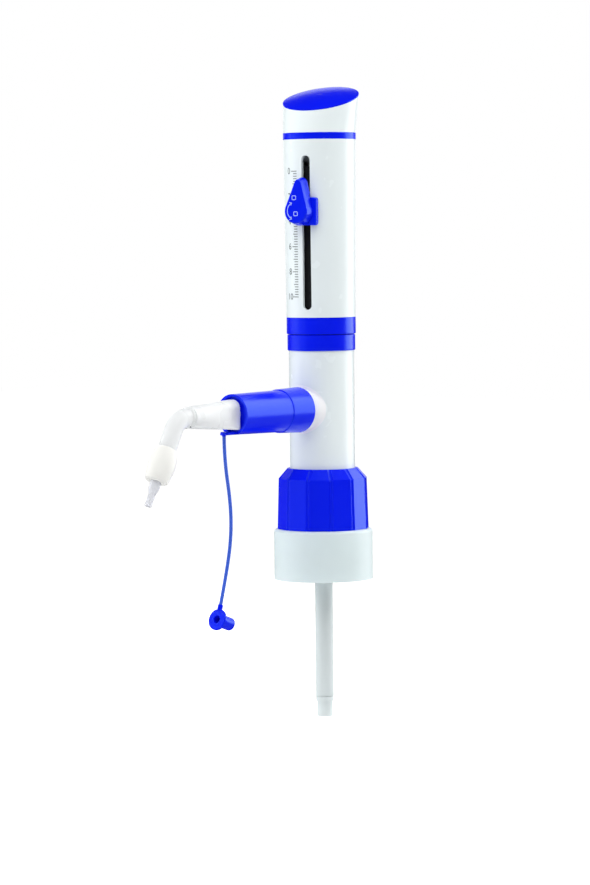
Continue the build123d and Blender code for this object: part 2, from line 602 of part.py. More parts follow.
# Glass cylinder with a clamping foot
with BuildPart() as glass_cylinder:
    with BuildSketch(Plane.XY.offset(SEAL_TOP_Z)):
        Circle(GLASS_D / 2)
    extrude(amount=GLASS_H)
    with BuildSketch(Plane.XY.offset(SEAL_TOP_Z)):
        Circle(GLASS_FOOT_D / 2)
    extrude(amount=GLASS_FOOT_H)
    chamfer(rims(glass_cylinder, GLASS_FOOT_D, SEAL_TOP_Z + GLASS_FOOT_H), EDGE_SOFT)
    with BuildSketch(Plane.XY.offset(SEAL_TOP_Z)):
        Circle(GLASS_BORE_D / 2)
    extrude(amount=GLASS_H, mode=Mode.SUBTRACT)
glass_cylinder.part.label = "glass_cylinder"

# Cylinder guard: stands on the housing tube's top, holds the glass by its foot and guides the slider's shoe
with BuildPart() as cylinder_guard:
    with BuildSketch(Plane.XY.offset(SEAL_TOP_Z)):
        Circle(TUBE_BORE_D / 2 - RUN_GAP)
    extrude(amount=TUBE_TOP_Z - SEAL_TOP_Z)
    with BuildSketch(Plane.XY.offset(TUBE_TOP_Z)):
        Circle(GUARD_D / 2)
    extrude(amount=GUARD_TOP_Z - TUBE_TOP_Z)
    chamfer(rims(cylinder_guard, GUARD_D, GUARD_TOP_Z), EDGE)
    with BuildSketch(Plane.XY.offset(GUARD_CLAMP_TOP_Z)):
        Circle(GUARD_BORE_D / 2)
    extrude(amount=GUARD_TOP_Z - GUARD_CLAMP_TOP_Z, mode=Mode.SUBTRACT)
    with BuildSketch(Plane.XY.offset(SEAL_TOP_Z)):
        Circle(GLASS_D / 2 + TURN_GAP)
    extrude(amount=GUARD_CLAMP_TOP_Z - SEAL_TOP_Z, mode=Mode.SUBTRACT)
    with BuildSketch(Plane.XY.offset(SEAL_TOP_Z)):
        Circle(GLASS_FOOT_D / 2 + TURN_GAP)
    extrude(amount=GLASS_FOOT_H + TURN_GAP, mode=Mode.SUBTRACT)
    with BuildSketch(slot_plane(GROOVE_FLOOR, (SLEEVE_RING_TOP_Z + GUARD_TOP_Z) / 2)):
        Rectangle(GROOVE_W, GUARD_TOP_Z - SLEEVE_RING_TOP_Z)
    extrude(amount=GUARD_D, mode=Mode.SUBTRACT)
cylinder_guard.part.label = "cylinder_guard"

# Guard bush: centres the glass cylinder's top in the guard
with BuildPart() as guard_bush:
    with BuildSketch(Plane.XY.offset(GLASS_TOP_Z + BUSH_TOP_H - BUSH_H)):
        Circle(GUARD_BORE_D / 2 - RUN_GAP)
        Circle(GLASS_D / 2 + RUN_GAP, mode=Mode.SUBTRACT)
    extrude(amount=BUSH_H)
    with BuildSketch(Plane.XY.offset(GLASS_TOP_Z + TURN_GAP)):
        Circle(GUARD_BORE_D / 2 - RUN_GAP)
        Circle(PLUNGER_D / 2 + SLIDE_GAP, mode=Mode.SUBTRACT)
    extrude(amount=BUSH_TOP_H - TURN_GAP)
guard_bush.part.label = "guard_bush"

# Plunger, a ground rod with chamfered ends
with BuildPart() as plunger:
    with BuildSketch(Plane.XY.offset(PLUNGER_BOTTOM_Z)):
        Circle(PLUNGER_D / 2)
    extrude(amount=PLUNGER_TOP_Z - PLUNGER_BOTTOM_Z)
    chamfer(plunger.edges().filter_by(GeomType.CIRCLE), EDGE_SOFT)
plunger.part.label = "plunger"

# Plunger coupler: a cup on the plunger's top with a stem through the head's floor
COUPLER_STEM_TOP_Z = BAND_TOP_Z + HEAD_FLOOR + CALIBRATION_NUT_H
with BuildPart() as plunger_coupler:
    with BuildSketch(Plane.XY.offset(COUPLER_BOTTOM_Z)):
        Circle(COUPLER_D / 2)
    extrude(amount=BAND_TOP_Z - COUPLER_BOTTOM_Z)
    chamfer(rims(plunger_coupler, COUPLER_D, COUPLER_BOTTOM_Z), EDGE)
    with BuildSketch(Plane.XY.offset(BAND_TOP_Z)):
        Circle(COUPLER_STEM_D / 2)
    extrude(amount=COUPLER_STEM_TOP_Z - BAND_TOP_Z)
    with BuildSketch(Plane.XY.offset(COUPLER_BOTTOM_Z)):
        Circle(PLUNGER_D / 2 + RUN_GAP)
    extrude(amount=COUPLER_CUP, mode=Mode.SUBTRACT)
plunger_coupler.part.label = "plunger_coupler"

# Calibration nut on the coupler's stem, above the head's floor
with BuildPart() as calibration_nut:
    with BuildSketch(Plane.XY.offset(BAND_TOP_Z + HEAD_FLOOR)):
        RegularPolygon(CALIBRATION_NUT_D / 2, 6)
        Circle(COUPLER_STEM_D / 2 + RUN_GAP, mode=Mode.SUBTRACT)
    extrude(amount=CALIBRATION_NUT_H)
calibration_nut.part.label = "calibration_nut"

# Plunger sleeve: it widens towards the head and has one long slot for the slider
with BuildPart() as sleeve:
    with BuildSketch(Plane.XZ):
        with BuildLine():
            Polyline(
                (SLEEVE_BORE_D / 2, SLEEVE_BOTTOM_Z),
                (SLEEVE_NECK_D / 2, SLEEVE_BOTTOM_Z),
                (SLEEVE_NECK_D / 2, SLEEVE_RING_TOP_Z),
                (SLEEVE_BOTTOM_D / 2, SLEEVE_RING_TOP_Z),
                (SLEEVE_TOP_D / 2, SLEEVE_TOP_Z),
                (SLEEVE_BORE_D / 2, SLEEVE_TOP_Z),
                close=True,
            )
        make_face()
    revolve(axis=Axis.Z)
    with BuildSketch(slot_plane(GROOVE_FLOOR, (SLOT_BOTTOM_Z + SLOT_TOP_Z) / 2)):
        SlotOverall(SLOT_TOP_Z - SLOT_BOTTOM_Z, SLOT_W, rotation=90)
    extrude(amount=SLEEVE_TOP_D / 2, mode=Mode.SUBTRACT)
sleeve.part.label = "sleeve"

# Sleeve ring, with a lip under the sleeve's lower end
with BuildPart() as sleeve_ring:
    with BuildSketch(Plane.XY.offset(SLEEVE_RING_BOTTOM_Z)):
        Circle(SLEEVE_RING_D / 2)
    extrude(amount=SLEEVE_RING_TOP_Z - SLEEVE_RING_BOTTOM_Z)
    chamfer(sleeve_ring.edges().filter_by(GeomType.CIRCLE), EDGE_FINE)
    with BuildSketch(Plane.XY.offset(SLEEVE_BOTTOM_Z)):
        Circle(SLEEVE_NECK_D / 2 + RUN_GAP)
    extrude(amount=SLEEVE_RING_TOP_Z - SLEEVE_BOTTOM_Z, mode=Mode.SUBTRACT)
    with BuildSketch(Plane.XY.offset(SLEEVE_RING_BOTTOM_Z)):
        Circle(SLEEVE_BORE_D / 2)
    extrude(amount=SLEEVE_RING_TOP_Z - SLEEVE_RING_BOTTOM_Z, mode=Mode.SUBTRACT)
sleeve_ring.part.label = "sleeve_ring"

# Band ring between the sleeve and the head
HEAD_SPIGOT_D = SLEEVE_BORE_D - 2 * TURN_GAP
with BuildPart() as band_ring:
    with BuildSketch(Plane.XY.offset(SLEEVE_TOP_Z)):
        Circle(BAND_D / 2)
        Circle(HEAD_SPIGOT_D / 2 + RUN_GAP, mode=Mode.SUBTRACT)
    extrude(amount=BAND_H)
    outer_rims = rims(band_ring, BAND_D, SLEEVE_TOP_Z) + rims(band_ring, BAND_D, BAND_TOP_Z)
    fillet(outer_rims, EDGE_FINE)
band_ring.part.label = "band_ring"

# Head: a shell that flares from the band to an oblique rim
RIM_PLANE = Plane(
    origin=(-SLOT_OUT[0] * HEAD_RIM_SHIFT, -SLOT_OUT[1] * HEAD_RIM_SHIFT, HEAD_RIM_Z),
    x_dir=SLOT_RIGHT,
    z_dir=(
        SLOT_OUT[0] * sin(radians(HEAD_TILT)),
        SLOT_OUT[1] * sin(radians(HEAD_TILT)),
        cos(radians(HEAD_TILT)),
    ),
)
HEAD_BASE_PLANE = Plane(origin=(0, 0, BAND_TOP_Z), x_dir=SLOT_RIGHT, z_dir=(0, 0, 1))
with BuildPart() as head:
    with BuildSketch(HEAD_BASE_PLANE):
        Circle(SLEEVE_TOP_D / 2)
    with BuildSketch(RIM_PLANE):
        Circle(HEAD_RIM_D / 2)
    loft()
    with BuildSketch(HEAD_BASE_PLANE.offset(HEAD_FLOOR)):
        Circle(SLEEVE_TOP_D / 2 - HEAD_WALL)
    with BuildSketch(RIM_PLANE):
        Circle(HEAD_RIM_D / 2 - HEAD_WALL)
    loft(mode=Mode.SUBTRACT)
    with BuildSketch(Plane.XY.offset(BAND_TOP_Z)):
        Circle(HEAD_SPIGOT_D / 2)
        Circle(HEAD_SPIGOT_D / 2 - HEAD_WALL, mode=Mode.SUBTRACT)
    extrude(amount=-HEAD_SPIGOT)
    with BuildSketch(Plane.XY.offset(BAND_TOP_Z)):
        Circle(COUPLER_STEM_D / 2 + RUN_GAP)
    extrude(amount=HEAD_FLOOR, mode=Mode.SUBTRACT)
head.part.label = "head"

# Head cap: a crowned lid on the rim, with a ring below that clears the head's slanting wall
WALL_SLANT = tan(radians(HEAD_TILT)) + HEAD_RIM_SHIFT / (HEAD_RIM_Z - BAND_TOP_Z)
CAP_SPIGOT_D = HEAD_RIM_D - 2 * (HEAD_WALL + TURN_GAP + CAP_SPIGOT_H * WALL_SLANT)
CROWN_R = ((HEAD_RIM_D / 2) ** 2 + CAP_CROWN**2) / (2 * CAP_CROWN)
with BuildPart() as head_cap:
    with BuildSketch(RIM_PLANE):
        Circle(HEAD_RIM_D / 2)
    extrude(amount=CAP_EDGE_H + CAP_CROWN)
    with Locations(RIM_PLANE.offset(CAP_EDGE_H + CAP_CROWN - CROWN_R)):
        Sphere(CROWN_R, mode=Mode.INTERSECT)
    with BuildSketch(RIM_PLANE):
        Circle(CAP_SPIGOT_D / 2)
        Circle(CAP_SPIGOT_D / 2 - HEAD_WALL, mode=Mode.SUBTRACT)
    extrude(amount=-CAP_SPIGOT_H)
head_cap.part.label = "head_cap"

# Slider block: saddled to the sleeve, with a key in the slot
SADDLE_R = SLEEVE_TOP_R + SLIDER_LIFT
KEY_W = SLOT_W - 2 * SLIDER_KEY_PLAY
SHOE_TOP_R = SLEEVE_BORE_D / 2 - TURN_GAP
with BuildPart() as slider_block:
    with BuildSketch(slot_plane(GROOVE_FLOOR)):
        with Locations(((SLIDER_RIGHT - SLIDER_LEFT) / 2, 0)):
            RectangleRounded(SLIDER_RIGHT + SLIDER_LEFT, SLIDER_H, SLIDER_CORNER)
    extrude(amount=SLIDER_FACE - GROOVE_FLOOR)
    block_face = slider_block.faces().sort_by(Axis((0, 0, SLIDER_Z), SLOT_OUT))[-1]
    fillet(block_face.edges(), SLIDER_CORNER / 2)
    with BuildSketch(Plane.XY.offset(SLIDER_Z - SLIDER_H)):
        Circle(SADDLE_R)
    extrude(amount=2 * SLIDER_H, mode=Mode.SUBTRACT)
    with BuildSketch(slot_plane(SHOE_TOP_R + RUN_GAP)):
        Rectangle(KEY_W, SLIDER_KEY_H)
    extrude(amount=SLIDER_FACE - SLIDER_CORNER - SHOE_TOP_R - RUN_GAP)
    with BuildSketch(slot_plane(GROOVE_FLOOR)):
        Circle(STUD_D / 2 + RUN_GAP)
    extrude(amount=SLIDER_FACE, mode=Mode.SUBTRACT)
slider_block.part.label = "slider_block"

# Clamp shoe: runs in the guard's groove and pulls up against the sleeve's bore
SHOE_FLOOR = GROOVE_FLOOR + SLIDE_GAP
with BuildPart() as clamp_shoe:
    with BuildSketch(slot_plane(SHOE_FLOOR)):
        Rectangle(SHOE_W, SHOE_H)
    extrude(amount=SLEEVE_BORE_D / 2 - SHOE_FLOOR)
    with BuildSketch(Plane.XY.offset(SLIDER_Z - SHOE_H)):
        Circle(SHOE_TOP_R)
    extrude(amount=2 * SHOE_H, mode=Mode.INTERSECT)
    with BuildSketch(slot_plane(SHOE_FLOOR)):
        Circle(STUD_D / 2 + RUN_GAP)
    extrude(amount=SHOE_W, mode=Mode.SUBTRACT)
clamp_shoe.part.label = "clamp_shoe"

# Clamp stud through the shoe and the block, with the lever on its end
LEVER_FLOOR = SLIDER_FACE + FACE_GAP
STUD_END = LEVER_FLOOR + LEVER_H - 2 * LEVER_EDGE
with BuildPart() as clamp_stud:
    with BuildSketch(slot_plane(SHOE_FLOOR)):
        Circle(STUD_D / 2)
    extrude(amount=STUD_END - SHOE_FLOOR)
    chamfer(clamp_stud.edges().filter_by(GeomType.CIRCLE), EDGE_FINE)
clamp_stud.part.label = "clamp_stud"

# Clamp lever: a drafted teardrop whose arm is deeper beyond the corner of the block that it passes
LEVER_ARM_START = hypot(SLIDER_LEFT, SLIDER_H / 2) + LEVER_ARM_CLEAR
LEVER_TIP_Y = LEVER_TIP_REACH - LEVER_TIP_D / 2
with BuildPart() as clamp_lever:
    with BuildSketch(slot_plane(LEVER_FLOOR)):
        with Locations((LEVER_ROUND_X, 0)):
            Circle(LEVER_ROUND_D / 2)
        with Locations((LEVER_TIP_X, LEVER_TIP_Y)):
            Circle(LEVER_TIP_D / 2)
        make_hull()
    extrude(amount=LEVER_H, taper=LEVER_DRAFT)
    lever_face = clamp_lever.faces().sort_by(Axis((0, 0, SLIDER_Z), SLOT_OUT))[-1]
    fillet(lever_face.edges(), LEVER_EDGE)
    with BuildSketch(slot_plane(LEVER_FLOOR)):
        with Locations((LEVER_ROUND_X, 0)):
            Circle(LEVER_ROUND_D / 2)
        with Locations((LEVER_TIP_X, LEVER_TIP_Y)):
            Circle(LEVER_TIP_D / 2)
        make_hull()
        Circle(LEVER_ARM_START, mode=Mode.SUBTRACT)
    extrude(amount=-LEVER_ARM_DROP)
    with BuildSketch(slot_plane(LEVER_FLOOR)):
        Circle(STUD_D / 2 + RUN_GAP)
    extrude(amount=STUD_END + RUN_GAP - LEVER_FLOOR, mode=Mode.SUBTRACT)
clamp_lever.part.label = "clamp_lever"

# Outlet stem: screwed into the block, it holds the outlet valve
with BuildPart() as outlet_stem:
    with BuildSketch(outlet_plane(STEM_START)):
        Circle(STEM_D / 2 - RUN_GAP)
    extrude(amount=STEM_END - STEM_START)
    with BuildSketch(outlet_plane(STEM_START)):
        Circle(CHANNEL_D / 2)
    extrude(amount=STEM_CHAMBER_START - STEM_START, mode=Mode.SUBTRACT)
    with BuildSketch(outlet_plane(STEM_CHAMBER_START)):
        Circle(STEM_CHAMBER_D / 2)
    extrude(amount=STEM_END - STEM_CHAMBER_START, mode=Mode.SUBTRACT)
outlet_stem.part.label = "outlet_stem"

# Outlet seat and ball
with BuildPart() as outlet_seat:
    with BuildSketch(outlet_plane(STEM_CHAMBER_START)):
        Circle(STEM_CHAMBER_D / 2 - RUN_GAP)
        Circle(OUTLET_SEAT_BORE_D / 2, mode=Mode.SUBTRACT)
    extrude(amount=OUTLET_SEAT_L)
outlet_seat.part.label = "outlet_seat"

OUTLET_BALL_AT = STEM_CHAMBER_START + OUTLET_SEAT_L + ball_rise(OUTLET_BALL_D, OUTLET_SEAT_BORE_D)
with BuildPart() as outlet_ball:
    with Locations((-OUTLET_BALL_AT, 0, OUTLET_Z)):
        Sphere(OUTLET_BALL_D / 2)
outlet_ball.part.label = "outlet_ball"

# Outlet spring between the ball and the duct's plug
SPRING_START = OUTLET_BALL_AT + OUTLET_BALL_D / 2 + SPRING_WIRE_D / 2 + SEAT_GAP
SPRING_LENGTH = DUCT_START - SPRING_WIRE_D / 2 - SEAT_GAP - SPRING_START
with BuildPart() as outlet_spring:
    with BuildLine():
        coil = Helix(
            pitch=SPRING_LENGTH / SPRING_TURNS,
            height=SPRING_LENGTH,
            radius=(SPRING_D - SPRING_WIRE_D) / 2,
            center=(-SPRING_START, 0, OUTLET_Z),
            direction=(-1, 0, 0),
        )
    with BuildSketch(Plane(origin=coil @ 0, z_dir=coil % 0)):
        Circle(SPRING_WIRE_D / 2)
    sweep(is_frenet=True)
outlet_spring.part.label = "outlet_spring"

# Outlet collar: the wide union ring on the stem
with BuildPart() as outlet_collar:
    with BuildSketch(Plane.XZ):
        with BuildLine():
            Polyline(
                (-COLLAR_START, OUTLET_Z),
                (-COLLAR_START, OUTLET_Z + COLLAR_D / 2),
                (-COLLAR_END, OUTLET_Z + COLLAR_D / 2 - COLLAR_DRAFT),
                (-COLLAR_END, OUTLET_Z),
                close=True,
            )
        make_face()
    revolve(axis=OUTLET_AXIS)
    fillet(outlet_rims(outlet_collar, COLLAR_D, COLLAR_START), COLLAR_EDGE)
    chamfer(outlet_rims(outlet_collar, COLLAR_D - 2 * COLLAR_DRAFT, COLLAR_END), COLLAR_EDGE / 2)
    with BuildSketch(outlet_plane(COLLAR_START)):
        Circle(STEM_D / 2 + RUN_GAP)
    extrude(amount=COLLAR_L, mode=Mode.SUBTRACT)
outlet_collar.part.label = "outlet_collar"

# Outlet hood: a long union nut over the stem and the duct, with a shallow mouth and a tab for the tether
with BuildPart() as outlet_hood:
    with BuildSketch(Plane.XZ):
        with BuildLine():
            Polyline(
                (-COLLAR_END, OUTLET_Z),
                (-COLLAR_END, OUTLET_Z + HOOD_D / 2 + HOOD_DRAFT),
                (-HOOD_END, OUTLET_Z + HOOD_D / 2),
                (-HOOD_END, OUTLET_Z),
                close=True,
            )
        make_face()
    revolve(axis=OUTLET_AXIS)
    with BuildSketch(outlet_plane(COLLAR_END)):
        Circle(STEM_D / 2 + RUN_GAP)
    extrude(amount=HOOD_SHOULDER - COLLAR_END, mode=Mode.SUBTRACT)
    with BuildSketch(outlet_plane(COLLAR_END)):
        Circle(DUCT_D / 2 + RUN_GAP)
    extrude(amount=HOOD_END - COLLAR_END, mode=Mode.SUBTRACT)
    with BuildSketch(outlet_plane(HOOD_END)):
        Circle(HOOD_MOUTH_D / 2)
    extrude(amount=-HOOD_RECESS, mode=Mode.SUBTRACT)
    with BuildSketch(outlet_plane(HOOD_END)):
        with BuildLine():
            tab_low = CenterArc((0, 0), HOOD_D / 2, -90 - HOOD_TAB_ARC / 2, HOOD_TAB_ARC)
            tab_high = CenterArc((0, 0), HOOD_MOUTH_D / 2, -90 - HOOD_TAB_ARC / 2, HOOD_TAB_ARC)
            Line(tab_low @ 0, tab_high @ 0)
            Line(tab_low @ 1, tab_high @ 1)
        make_face()
    extrude(amount=HOOD_TAB_END - HOOD_END)
    tab_end_edges = outlet_hood.edges().filter_by(GeomType.LINE).group_by(Axis.X)[0]
    fillet(tab_end_edges, HOOD_TAB_ROUND)
    tab_pin_at = HOOD_TAB_END - HOOD_TAB_PIN_D / 2
    tab_pin_from = (-tab_pin_at, 0, OUTLET_Z - HOOD_MOUTH_D / 2 - HOOD_WALL / 2)
    with BuildSketch(Plane(origin=tab_pin_from, z_dir=(0, 0, -1))):
        Circle(HOOD_TAB_PIN_D / 2 - TURN_GAP)
    extrude(amount=HOOD_WALL / 2 + HOOD_TAB_PIN_H)
outlet_hood.part.label = "outlet_hood"

# Outlet duct: a plug in the stem's chamber, a flange that the hood clamps, and a tube out to the fitting
with BuildPart() as outlet_duct:
    with BuildSketch(outlet_plane(DUCT_START)):
        Circle(STEM_CHAMBER_D / 2 - RUN_GAP)
    extrude(amount=DUCT_PLUG_L)
    with BuildSketch(outlet_plane(STEM_END)):
        Circle(DUCT_FLANGE_D / 2)
    extrude(amount=DUCT_FLANGE_L)
    with BuildSketch(outlet_plane(DUCT_FLANGE_END)):
        Circle(DUCT_D / 2)
    extrude(amount=DUCT_END - DUCT_FLANGE_END)
    chamfer(outlet_rims(outlet_duct, DUCT_D, DUCT_END), EDGE_SOFT)
    with BuildSketch(outlet_plane(DUCT_START)):
        Circle(DUCT_BORE_D / 2)
    extrude(amount=DUCT_END - DUCT_START, mode=Mode.SUBTRACT)
outlet_duct.part.label = "outlet_duct"

# Outlet fitting: flat-sided with an arched top where it meets the hood, it turns round towards the knee
with BuildSketch() as fitting_section:
    Rectangle(FITTING_W, FITTING_H)
    fillet(fitting_section.vertices().group_by(Axis.Y)[-1], FITTING_ARCH * FITTING_W / 2)
    fillet(fitting_section.vertices().group_by(Axis.Y)[0], FITTING_CORNER)
with BuildPart() as outlet_fitting:
    with BuildSketch(outlet_plane(FITTING_START)):
        add(fitting_section.sketch)
    extrude(amount=FITTING_STRAIGHT)
    with BuildSketch(outlet_plane(FITTING_START + FITTING_STRAIGHT)):
        add(fitting_section.sketch)
    with BuildSketch(outlet_plane(KNEE)):
        Circle(KNEE_D / 2)
    loft()
    with BuildSketch(outlet_plane(FITTING_START)):
        Circle(DUCT_D / 2 + RUN_GAP)
    extrude(amount=DUCT_SOCKET + RUN_GAP, mode=Mode.SUBTRACT)
    with BuildSketch(outlet_plane(FITTING_START)):
        Circle(DUCT_BORE_D / 2)
    extrude(amount=KNEE - FITTING_START, mode=Mode.SUBTRACT)
    with BuildSketch(outlet_plane(KNEE)):
        Circle(SPIGOT_D / 2 + RUN_GAP)
    extrude(amount=-SPIGOT_L - FACE_GAP, mode=Mode.SUBTRACT)
    chamfer(outlet_rims(outlet_fitting, KNEE_D, KNEE), KNEE_GROOVE)
outlet_fitting.part.label = "outlet_fitting"

# Spout elbow: a spigot in the fitting, a ring at the knee and one bend
ELBOW_START = KNEE + FACE_GAP
BEND_AT = ELBOW_START + KNEE_RING_L
BEND_TANGENT = SPOUT_BEND_R * tan(radians(SPOUT_BEND / 2))
SPOUT_DOWN = (-cos(radians(SPOUT_BEND)), 0, -sin(radians(SPOUT_BEND)))
CORNER = (-(BEND_AT + BEND_TANGENT), 0, OUTLET_Z)


def down_spout(distance):
    """A plane across the spout's lower leg, this far below the bend's corner, that faces down it."""
    origin = tuple(c + distance * d for c, d in zip(CORNER, SPOUT_DOWN))
    return Plane(origin=origin, x_dir=(0, 1, 0), z_dir=SPOUT_DOWN)


LEG_END = BEND_TANGENT + SPOUT_LEG
with BuildPart() as spout_elbow:
    with BuildLine() as elbow_path:
        FilletPolyline((-ELBOW_START, 0, OUTLET_Z), CORNER, down_spout(LEG_END).origin, radius=SPOUT_BEND_R)
    with BuildSketch(outlet_plane(ELBOW_START)):
        Circle(SPOUT_TUBE_D / 2)
    sweep()
    with BuildSketch(outlet_plane(ELBOW_START)):
        Circle(KNEE_RING_D / 2)
    extrude(amount=KNEE_RING_L)
    chamfer(outlet_rims(spout_elbow, KNEE_RING_D, BEND_AT), KNEE_RING_STEP - RUN_GAP)
    chamfer(outlet_rims(spout_elbow, KNEE_RING_D, ELBOW_START), KNEE_GROOVE)
    with BuildSketch(outlet_plane(ELBOW_START)):
        Circle(SPIGOT_D / 2)
    extrude(amount=-SPIGOT_L)
    with BuildSketch(outlet_plane(ELBOW_START - SPIGOT_L / 2 - SEAL_RING_D)):
        Circle(SPIGOT_D / 2 + SEAL_RING_D)
        Circle(SPIGOT_D / 2 - SEAL_RING_D, mode=Mode.SUBTRACT)
    extrude(amount=2 * SEAL_RING_D, mode=Mode.SUBTRACT)
    with BuildSketch(outlet_plane(ELBOW_START)):
        Circle(SPOUT_BORE_D / 2)
    sweep(path=elbow_path.line, mode=Mode.SUBTRACT)
    with BuildSketch(outlet_plane(ELBOW_START)):
        Circle(SPOUT_BORE_D / 2)
    extrude(amount=-SPIGOT_L, mode=Mode.SUBTRACT)
spout_elbow.part.label = "spout_elbow"

# Spout seal in the spigot's groove
with BuildPart() as spout_seal:
    with BuildSketch(Plane.XZ):
        with Locations((-(ELBOW_START - SPIGOT_L / 2), OUTLET_Z + SPIGOT_D / 2 - SEAL_RING_D / 2)):
            Circle(SEAL_RING_D / 2 - RUN_GAP)
    revolve(axis=OUTLET_AXIS)
spout_seal.part.label = "spout_seal"

# Nozzle holder: a bellied union on the elbow's end
HOLDER_AT = LEG_END - HOLDER_SOCKET
HOLDER_END = HOLDER_AT + HOLDER_L
with BuildPart() as nozzle_holder:
    with BuildSketch(Plane(origin=down_spout(HOLDER_AT).origin, x_dir=SPOUT_DOWN, z_dir=(0, 1, 0))):
        with BuildLine():
            belly = ThreePointArc(
                (0, HOLDER_TOP_D / 2), (HOLDER_L / 3, HOLDER_BELLY_D / 2), (HOLDER_L, HOLDER_END_D / 2)
            )
            Polyline(belly @ 0, (0, 0), (HOLDER_L, 0), belly @ 1)
        make_face()
    revolve(axis=Axis(down_spout(HOLDER_AT).origin, SPOUT_DOWN))
    chamfer(nozzle_holder.edges().filter_by(GeomType.CIRCLE), EDGE_SOFT)
    with BuildSketch(down_spout(HOLDER_AT)):
        Circle(SPOUT_TUBE_D / 2 + RUN_GAP)
    extrude(amount=HOLDER_SOCKET + RUN_GAP, mode=Mode.SUBTRACT)
    with BuildSketch(down_spout(HOLDER_AT)):
        Circle(SPOUT_BORE_D / 2)
    extrude(amount=HOLDER_L, mode=Mode.SUBTRACT)
    with BuildSketch(down_spout(HOLDER_END)):
        Circle(NOZZLE_D / 2 + RUN_GAP)
    extrude(amount=-NOZZLE_SOCKET - RUN_GAP, mode=Mode.SUBTRACT)
nozzle_holder.part.label = "nozzle_holder"

# Nozzle tip: it narrows to a plain cylindrical end
NOZZLE_TOP = HOLDER_END - NOZZLE_SOCKET
NOZZLE_TIP = HOLDER_END + NOZZLE_REACH
NOZZLE_CONE = (NOZZLE_REACH - NOZZLE_END_L) / 2
with BuildPart() as nozzle_tip:
    with BuildSketch(down_spout(NOZZLE_TOP)):
        Circle(NOZZLE_D / 2)
    extrude(amount=NOZZLE_SOCKET + NOZZLE_CONE)
    with BuildSketch(down_spout(HOLDER_END + NOZZLE_CONE)):
        Circle(NOZZLE_D / 2)
    with BuildSketch(down_spout(NOZZLE_TIP - NOZZLE_END_L)):
        Circle(NOZZLE_END_D / 2)
    loft()
    with BuildSketch(down_spout(NOZZLE_TIP - NOZZLE_END_L)):
        Circle(NOZZLE_END_D / 2)
    extrude(amount=NOZZLE_END_L)
    with BuildSketch(down_spout(NOZZLE_TOP)):
        Circle(NOZZLE_BORE_D / 2)
    extrude(amount=NOZZLE_TIP - NOZZLE_TOP, mode=Mode.SUBTRACT)
nozzle_tip.part.label = "nozzle_tip"

# Tether: it hangs from the tab's pin in one shallow bow
TETHER_TOP_Z = OUTLET_Z - HOOD_D / 2 - HOOD_TAB_PIN_H
TETHER_ROUTE = [
    (-tab_pin_at, 0, TETHER_TOP_Z),
    (-tab_pin_at, 0, 66.0),
    (-72.4, 0, 43.0),
    (-72.4, 0, 26.5),
    (-76.0, 0, 9.8),
    (-81.0, 0, -6.6),
]


def route_radii(points):
    """The arc at each corner of a route, as large as its two runs allow."""
    radii = []
    for before, here, after in zip(points, points[1:], points[2:]):
        run_in = Vector(*here) - Vector(*before)
        run_out = Vector(*after) - Vector(*here)
        half_turn = radians(run_in.get_angle(run_out) / 2)
        radii.append(RUN_SHARE * min(run_in.length, run_out.length) / tan(half_turn))
    return radii


TETHER_RADII = route_radii(TETHER_ROUTE)
print("tether radii", [round(radius, 1) for radius in TETHER_RADII])
with BuildPart() as tether_cord:
    with BuildLine():
        tether_path = FilletPolyline(*TETHER_ROUTE, radius=TETHER_RADII)
    with BuildSketch(Plane(origin=tether_path @ 0, z_dir=tether_path % 0)):
        Circle(TETHER_D / 2)
    sweep()
tether_cord.part.label = "tether_cord"
tether_volume = tether_path.length * pi * (TETHER_D / 2) ** 2
print("tether length", round(tether_path.length, 1))
print("tether volume over section times length", round(tether_cord.part.volume / tether_volume, 4))

# Stopper cap: a flanged, hollow plug for the nozzle, held by an ear at its flange's top
STOPPER_IN = Vector(cos(radians(STOPPER_TILT)), 0, -sin(radians(STOPPER_TILT)))
STOPPER_UP = Vector(sin(radians(STOPPER_TILT)), 0, cos(radians(STOPPER_TILT)))
TETHER_END = Vector(*TETHER_ROUTE[-1])
TETHER_END_DIRECTION = (tether_path % 1).normalized()
STOPPER_BORE_DEPTH = NOZZLE_END_L + STOPPER_SPARE
flange_middle = TETHER_END + TETHER_END_DIRECTION * STOPPER_EAR_L - STOPPER_UP * (STOPPER_FLANGE_D / 2)
stopper_mouth = flange_middle - STOPPER_IN * (STOPPER_FLANGE_H / 2)
with BuildPart() as stopper_cap:
    with BuildSketch(Plane(origin=stopper_mouth, x_dir=(0, 1, 0), z_dir=STOPPER_IN)):
        Circle(STOPPER_FLANGE_D / 2)
    extrude(amount=STOPPER_FLANGE_H)
    fillet(stopper_cap.edges().filter_by(GeomType.CIRCLE), STOPPER_EDGE)
    with BuildSketch(Plane(origin=stopper_mouth, x_dir=(0, 1, 0), z_dir=STOPPER_IN)):
        Circle(STOPPER_STEM_D / 2)
    extrude(amount=STOPPER_BORE_DEPTH + STOPPER_FLOOR)
    stem_end = stopper_cap.faces().sort_by(Axis(stopper_mouth, STOPPER_IN))[-1]
    fillet(stem_end.edges(), 2 * STOPPER_EDGE)
    with BuildSketch(Plane(origin=TETHER_END, z_dir=TETHER_END_DIRECTION)):
        Circle(STOPPER_EAR_D / 2)
    extrude(amount=STOPPER_EAR_L + STOPPER_FLANGE_H / 2)
    with BuildSketch(Plane(origin=stopper_mouth, x_dir=(0, 1, 0), z_dir=STOPPER_IN)):
        Circle(STOPPER_BORE_D / 2)
    extrude(amount=STOPPER_BORE_DEPTH, mode=Mode.SUBTRACT)
stopper_cap.part.label = "stopper_cap"

